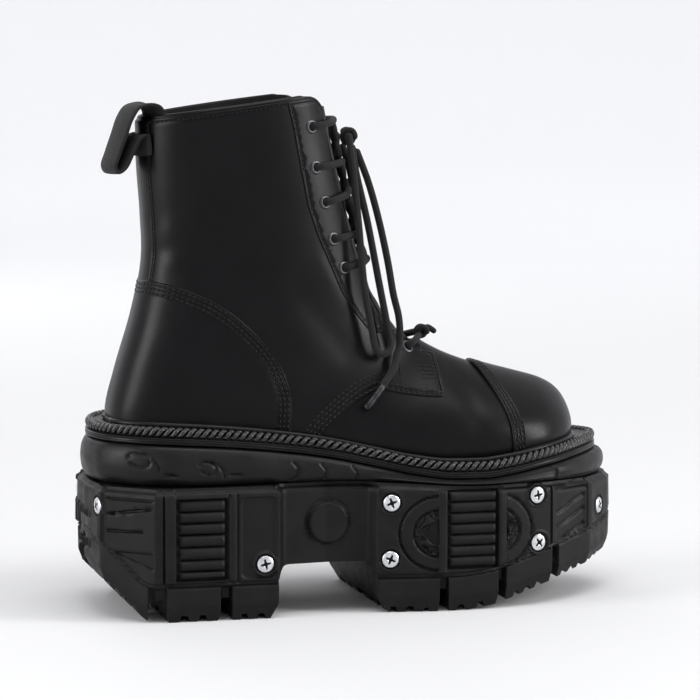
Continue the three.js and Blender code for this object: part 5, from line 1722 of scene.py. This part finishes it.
# %% Insole
loop = resample(feather(2.6, off=-3.0), count=241, closed=True)
far = int(np.argmax(loop[:, 0]))
loop = np.roll(loop, -far, 0)
half = len(loop) // 2
one, two = loop[:half + 1], np.vstack([loop[half:], loop[:1]])[::-1]
s = np.linspace(0, 1, half + 1)
w = np.concatenate([[0, 0.004, 0.012, 0.03], np.linspace(0.08, 0.92, 22), [0.97, 0.988, 0.996, 1]])
board = one[:, None] + (two - one)[:, None] * w[None, :, None]
edge_drop = 1.4 * (1 - smooth(np.minimum(w, 1 - w) * 30))[None, :]
dish = 1.2 * np.sin(math.pi * w)[None, :] * smooth((-60 - board[..., 0]) / 40)
board[..., 2] = welt_top(board[..., 0]) + 4.2 - edge_drop - dish
uv = board[..., :2].reshape(-1, 2)
insole = make_piece("insole_board", board.reshape(-1, 3), grid_faces(half + 1, len(w)), "insole_cloth",
                    "insole_lining", uv=uv, sharp=60, replaces=("insole",))
up_side = insole.data.polygons[len(insole.data.polygons) // 2].normal.z
if up_side < 0:
    insole.data.flip_normals()
print("insole", len(insole.data.polygons), "faces")

# %% Pull loop
LOOP_LINE = [     # v, mm off the leather
    (.035, -4), (.005, -4), (-.013, -2.6), (-.018, .8), (-.015, 6.5), (0, 10.5), (.025, 13.8),
    (.05, 17.2), (.068, 19.6), (.075, 18.2), (.07, 14.6), (.05, 10.4), (.03, 6.4), (.026, 3.4),
    (.036, 2.6), (.055, 2.3)]
LOOP_HALF, LOOP_T = 17.0, 1.6
MM_PER_V, BACK_ROUND, BACK_RADIUS = 400, 232, 26     # sizes of the last at the back of the collar
line = catmull([(v * MM_PER_V, off) for v, off in LOOP_LINE], 9)
t = unit(np.gradient(line, axis=0))
run = run_of(line)
edge = [(-1, -.55), (-1, .55), (-.985, .85), (-.955, 1)]
profile = edge + [(y, 1) for y in np.linspace(-.9, .9, 25)] + [(-y, s) for y, s in edge[::-1]]
profile += [(y, -s) for y, s in profile[::-1]][1:-1]
rows = []
for (px, po), (tx, to) in zip(line, t):
    y = np.array([a for a, _ in profile]) * LOOP_HALF
    s = np.array([b for _, b in profile]) * LOOP_T / 2
    v, off = (px - s * to) / MM_PER_V, po + s * tx
    rows.append(surf(0.5 + (y / BACK_ROUND) * (BACK_RADIUS / (BACK_RADIUS + off)), v, off))
rows = np.array(rows)
uv = np.stack([np.repeat(run, len(profile)), np.tile([a * LOOP_HALF for a, _ in profile], len(rows))], 1)
make_piece("pull_strap", rows, capped_faces(len(rows), len(profile), flip=True), "webbing", "webbing",
           uv=uv, sharp=60, replaces=("pull_loop",))
print("pull strap", round(run[-1]), "mm of webbing")

# %% [markdown]
# ## Eyelets and the laced bars
# Each eyelet is a rolled metal ring with a dark hole. The lace comes up through a hole, bends over
# the throat's edge, lies on the tongue and goes down the opposite hole, so each bar is drawn as one
# round cord that starts and ends inside the eyelets.

# %% Eyelets
def frame_on(u, v, off):
    """Place on the leather with its axes: across, up the boot, outward."""
    u, v = float(u), float(v)
    p = leather_at(u, v, off)
    n = normal(u, v)
    down = skin(u, v + 0.01) - skin(u, v)
    down /= np.linalg.norm(down)
    across = np.cross(n, down)
    across /= np.linalg.norm(across)
    return p, np.stack([across, np.cross(n, across), n], 1)


EYELETS_XZ = [(-33, 263.5), (-30.5, 241.5), (-25, 222.5), (-20, 202.5), (-13.5, 186.5), (26, 141)]
eyelet_uv = locate(EYELETS_XZ, -1)
EYELETS = []
for u, v in eyelet_uv:
    EYELETS.append((v, run_of(skin(u * np.linspace(0, 1, 61), v))[-1]))
ring_profile = [(2.05, -1.2), (2.05, .25), (2.2, .6), (2.55, .85), (3.0, .88), (3.5, .66), (3.8, .3),
                (3.92, -.02), (3.92, -.3)]
EYELET_SIDES = 40
turn = around(EYELET_SIDES)
ring_r, ring_z = np.array(ring_profile).T
ring_points = np.stack([ring_r[:, None] * np.cos(turn), ring_r[:, None] * np.sin(turn),
                        ring_z[:, None] + 0 * turn], -1)
disc = np.vstack([[0, 0, 0.1], np.stack([2.1 * np.cos(turn), 2.1 * np.sin(turn), 0 * turn + 0.05], 1)])
for k, (v, mm) in enumerate(EYELETS):
    for side, word in ((-1, "lateral"), (1, "medial")):
        lift = QUARTER + (FACING if k < 5 else 0.0)
        p, axes = frame_on(u_at(v, side * mm), v, lift)
        make_piece(f"eyelet_ring_{word}_{k + 1}", ring_points.reshape(-1, 3) @ axes.T + p,
                   grid_faces(len(ring_r), EYELET_SIDES, close_cols=True),
                   "gunmetal", "eyelet_metal", sharp=50, replaces=(f"eyelet_{word}_{k + 1}",))
        make_piece(f"eyelet_hole_{word}_{k + 1}", disc @ axes.T + p,
                   [[0, 1 + a, 1 + (a + 1) % EYELET_SIDES] for a in range(EYELET_SIDES)], "insole_cloth",
                   "eyelet_metal", uv=disc[:, :2], sharp=0)
print("eyelets", 2 * len(EYELETS))

# %% Laced bars
parts, uvs = [], []
for k, (v, mm) in enumerate(EYELETS):
    edge = float(throat_half(v))
    lift = QUARTER + (FACING if k < 5 else 0)
    half = [(mm, lift - 0.6), (mm - 0.7, lift + 1.5), (mm - 2.6, lift + 2.6), (edge + 0.6, lift + 2.4),
            (edge - 4.0, 1.6), (edge * 0.5, 0.9), (0, 0.9)]
    if k == 5:
        half = [(mm, lift - 0.6), (mm - 0.8, lift + 1.6), (mm - 3, lift + 2.6), (mm * .5, lift + 2.3),
                (0, lift + 2.2)]
    rows = [(v, -a, b) for a, b in half] + [(v, a, b) for a, b in half[::-1][1:]]
    wobble = 0.006 * math.sin(k * 2.3)
    rows = [(a + wobble * (1 - abs(b) / mm) * (k < 5), b, c) for a, b, c in rows]
    path = resample(catmull(on_last(rows), 8), step=1.3)
    points, faces, uv = tube(path, LACE_D / 2 - 0.05, 12)
    parts.append((points, faces))
    uvs.append(uv + [k * 3.1, 0])
for k in range(4):
    (v0, m0), (v1, m1) = EYELETS[k], EYELETS[k + 1]
    for side in (-1, 1):
        rows = [(v0 + (v1 - v0) * t, side * (11 - 19 * t), -0.4 + 0.5 * math.sin(math.pi * t))
                for t in np.linspace(0.08, 0.92, 6)]
        path = resample(catmull(on_last(rows), 8), step=1.5)
        points, faces, uv = tube(path, LACE_D / 2 - 0.1, 10)
        parts.append((points, faces))
        uvs.append(uv)
v6 = EYELETS[5][0]
centre = surf(0.0, v6, 3.6)
a = np.linspace(0, 1.7 * 2 * math.pi, 40)
small = centre + np.stack([2.2 * np.cos(a), np.interp(a, [0, a[-1]], [-8.6, -2.6]), 2.4 * np.sin(a) + 0.4], 1)
points, faces, uv = tube(small, 1.7, 10)
parts.append((points, faces))
uvs.append(uv)
stub = catmull([centre + [1.0, -5.5, 1.6], centre + [3.4, -5.2, 2.6], centre + [5.6, -5.0, 1.6],
                centre + [7.2, -5.4, 0.4]], 6)
points, faces, uv = tube(stub, 1.6, 10)
parts.append((points, faces))
uvs.append(uv)
points, faces = join_parts(parts)
make_piece("laced_bars", points, faces, "lace_cord", "lace", uv=np.vstack(uvs), sharp=0,
           replaces=("lace_bars",))
print("bars", len(faces), "faces")

# %% [markdown]
# ## Side zip
# The inner side opens with a moulded-tooth zip. Two rows of teeth mesh along the line, each row on
# its own tape. The slider stands where it was left, part way down, and only its pull tab swings.

# %% Zip chain and tape
ZIP_XZ = [(-52, 275), (-50, 250), (-46, 220), (-41.5, 190), (-37, 160), (-33, 130), (-31, 101)]
zip_uv = even(catmull(locate(ZIP_XZ, 1), 12), 1.0)
zip_p = leather_at(zip_uv[:, 0], zip_uv[:, 1], 1.25)
zip_n = normal(zip_uv[:, 0], zip_uv[:, 1])
zip_t = unit(np.gradient(zip_p, axis=0))
zip_w = np.cross(zip_t, zip_n)
zip_run = run_of(zip_p)
SLIDER_RUN = 0.2 * zip_run[-1]


def gap_at(run):
    """Half the gap between the tapes: they part above the slider."""
    return 0.9 * smooth((SLIDER_RUN - run) / 18)


TAPE = [(0.55, -.25), (0.6, .15), (1.4, .3), (5.6, .3), (6.2, .1), (6.3, -.6)]
for side in (-1, 1):
    strip = np.stack([zip_p + zip_w * (side * (a + gap_at(zip_run)))[:, None] + zip_n * b
                      for a, b in TAPE], 1)
    uv = np.stack([np.repeat(zip_run, len(TAPE)), np.tile([a for a, _ in TAPE], len(zip_p))], 1)
    make_piece(f"zip_tape_{'front' if side < 0 else 'rear'}", strip.reshape(-1, 3),
               grid_faces(*strip.shape[:2], flip=(side < 0)), "webbing", "zip_metal", uv=uv, sharp=60)
tooth = np.array([(x, y, z) for z in (-.3, 1.0) for x, y in
                  ((-.55, 0), (.55, 0), (.75, 1.4), (.45, 2.3), (-.45, 2.3), (-.75, 1.4))])
tooth[6:, :2] *= [0.8, 0.92]
tooth_faces = [[5, 4, 3, 2, 1, 0], [6, 7, 8, 9, 10, 11]]
tooth_faces += [[k, (k + 1) % 6, 6 + (k + 1) % 6, 6 + k] for k in range(6)]
parts = []
for k, s in enumerate(np.arange(1.5, zip_run[-1] - 1, 1.35)):
    side = -1 if k % 2 else 1
    p, n, t, w = (at_run(s, zip_run, q) for q in (zip_p, zip_n, zip_t, zip_w))
    local = tooth * [1, -1, 1] + [0, 1.25, 0.25]
    local = local * [1, side, 1] + [0, side * gap_at(s), 0]
    parts.append((p + local[:, :1] * t + local[:, 1:2] * w + local[:, 2:] * n, tooth_faces))
points, faces = join_parts(parts)
make_piece("zip_chain", points, faces, "zip_metal", "zip_metal", sharp=30, replaces=("zip_teeth",))
print("teeth", len(parts))


# %% Zip slider and pull tab
def grown_ring(loop, grow, y):
    """Loop of (x, z) places grown from its middle by so many mm, at that y."""
    p = np.asarray(loop, float)
    d = p - p.mean(0)
    ring = p.mean(0) + d * (1 + grow / np.maximum(np.linalg.norm(d, axis=1, keepdims=True), 1e-6))
    return np.column_stack([ring[:, 0], np.full(len(p), y), ring[:, 1]])


def rounded_slab(outline_points, low, high, bevel):
    """Plate with a softened rim; outline_points are (x, z) places, the plate lies across Y."""
    rows = [grown_ring(outline_points, grow, y) for grow, y in (
        (-bevel, low), (-0.3 * bevel, low + 0.3 * bevel), (0, low + bevel), (0, high - bevel),
        (-0.3 * bevel, high - 0.3 * bevel), (-bevel, high))]
    return np.vstack(rows), capped_faces(len(rows), len(outline_points))


def slot_ring(outer, inner, low, high, bevel=0.3):
    """Plate with a window; outer and inner are loops of equal count."""
    rows = [grown_ring(loop, grow, y) for loop, y, grow in (
        (outer, low, -bevel), (outer, low + bevel, 0), (outer, high - bevel, 0), (outer, high, -bevel),
        (inner, high, bevel), (inner, high - bevel, 0), (inner, low + bevel, 0), (inner, low, bevel))]
    return np.vstack(rows), grid_faces(len(rows), len(outer), close_cols=True, close_rows=True)


def superloop(cx, cz, hx, hz, power, count=48):
    """Rectangle with round corners as a loop of (x, z); a higher power gives squarer corners."""
    a = around(count)
    return np.stack([cx + hx * np.sign(np.cos(a)) * np.abs(np.cos(a)) ** (2 / power),
                     cz + hz * np.sign(np.sin(a)) * np.abs(np.sin(a)) ** (2 / power)], 1)


lo, hi = (np.array(c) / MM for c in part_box("zip_slider"))
mid = (lo + hi) / 2
body = rounded_slab(superloop(mid[0], mid[2], (hi[0] - lo[0]) / 2, (hi[2] - lo[2]) / 2, 3.2), lo[1],
                    lo[1] + 3.0, 0.7)
bridge_path = catmull([(mid[0], lo[1] + y, mid[2] + z) for y, z in
                       ((2.6, -4.2), (5.4, -3.6), (6.2, 0.2), (5.6, 3.8), (2.6, 4.3))], 8)
bridge = tube(bridge_path, 0.75, 10)[:2]
points, faces = join_parts([body, bridge])
make_piece("zip_slider_body", points, faces, "zip_metal", "zip_metal", sharp=40, replaces=("zip_slider",))
lo, hi = (np.array(c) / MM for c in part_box("zip_pull"))
mid = (lo + hi) / 2
eye_part = slot_ring(superloop(mid[0], hi[2] - 6.2, 3.6, 6.2, 3.4),
                     superloop(mid[0], hi[2] - 6.0, 2.4, 4.0, 4.0), lo[1], hi[1])
grip_top = hi[2] - 11.6
grip = rounded_slab(superloop(mid[0], (lo[2] + grip_top) / 2, 4.0, (grip_top - lo[2]) / 2, 4.5),
                    lo[1], hi[1], 0.35)
ridges = []
for z in np.linspace(lo[2] + 4, hi[2] - 16, 6):
    ridges.append(tube(np.array([(mid[0] - 2.6, hi[1] - 0.1, z), (mid[0], hi[1] - 0.05, z),
                                 (mid[0] + 2.6, hi[1] - 0.1, z)]), 0.45, 8)[:2])
points, faces = join_parts([eye_part, grip] + ridges)
make_piece("zip_pull_tab", points, faces, "zip_metal", "zip_metal", body="zip_pull", sharp=40,
           replaces=("zip_pull",))
print("zip pull rides on zip_pull")

# %% Sizes and finish
bpy.context.view_layer.update()
counts = {}
for obj in bpy.context.scene.objects:
    if obj.type == "MESH":
        obj.data.calc_loop_triangles()
        counts[obj.name] = len(obj.data.loop_triangles)
print("triangles in all", sum(counts.values()), "largest", sorted(counts.items(), key=lambda kv: -kv[1])[:6])
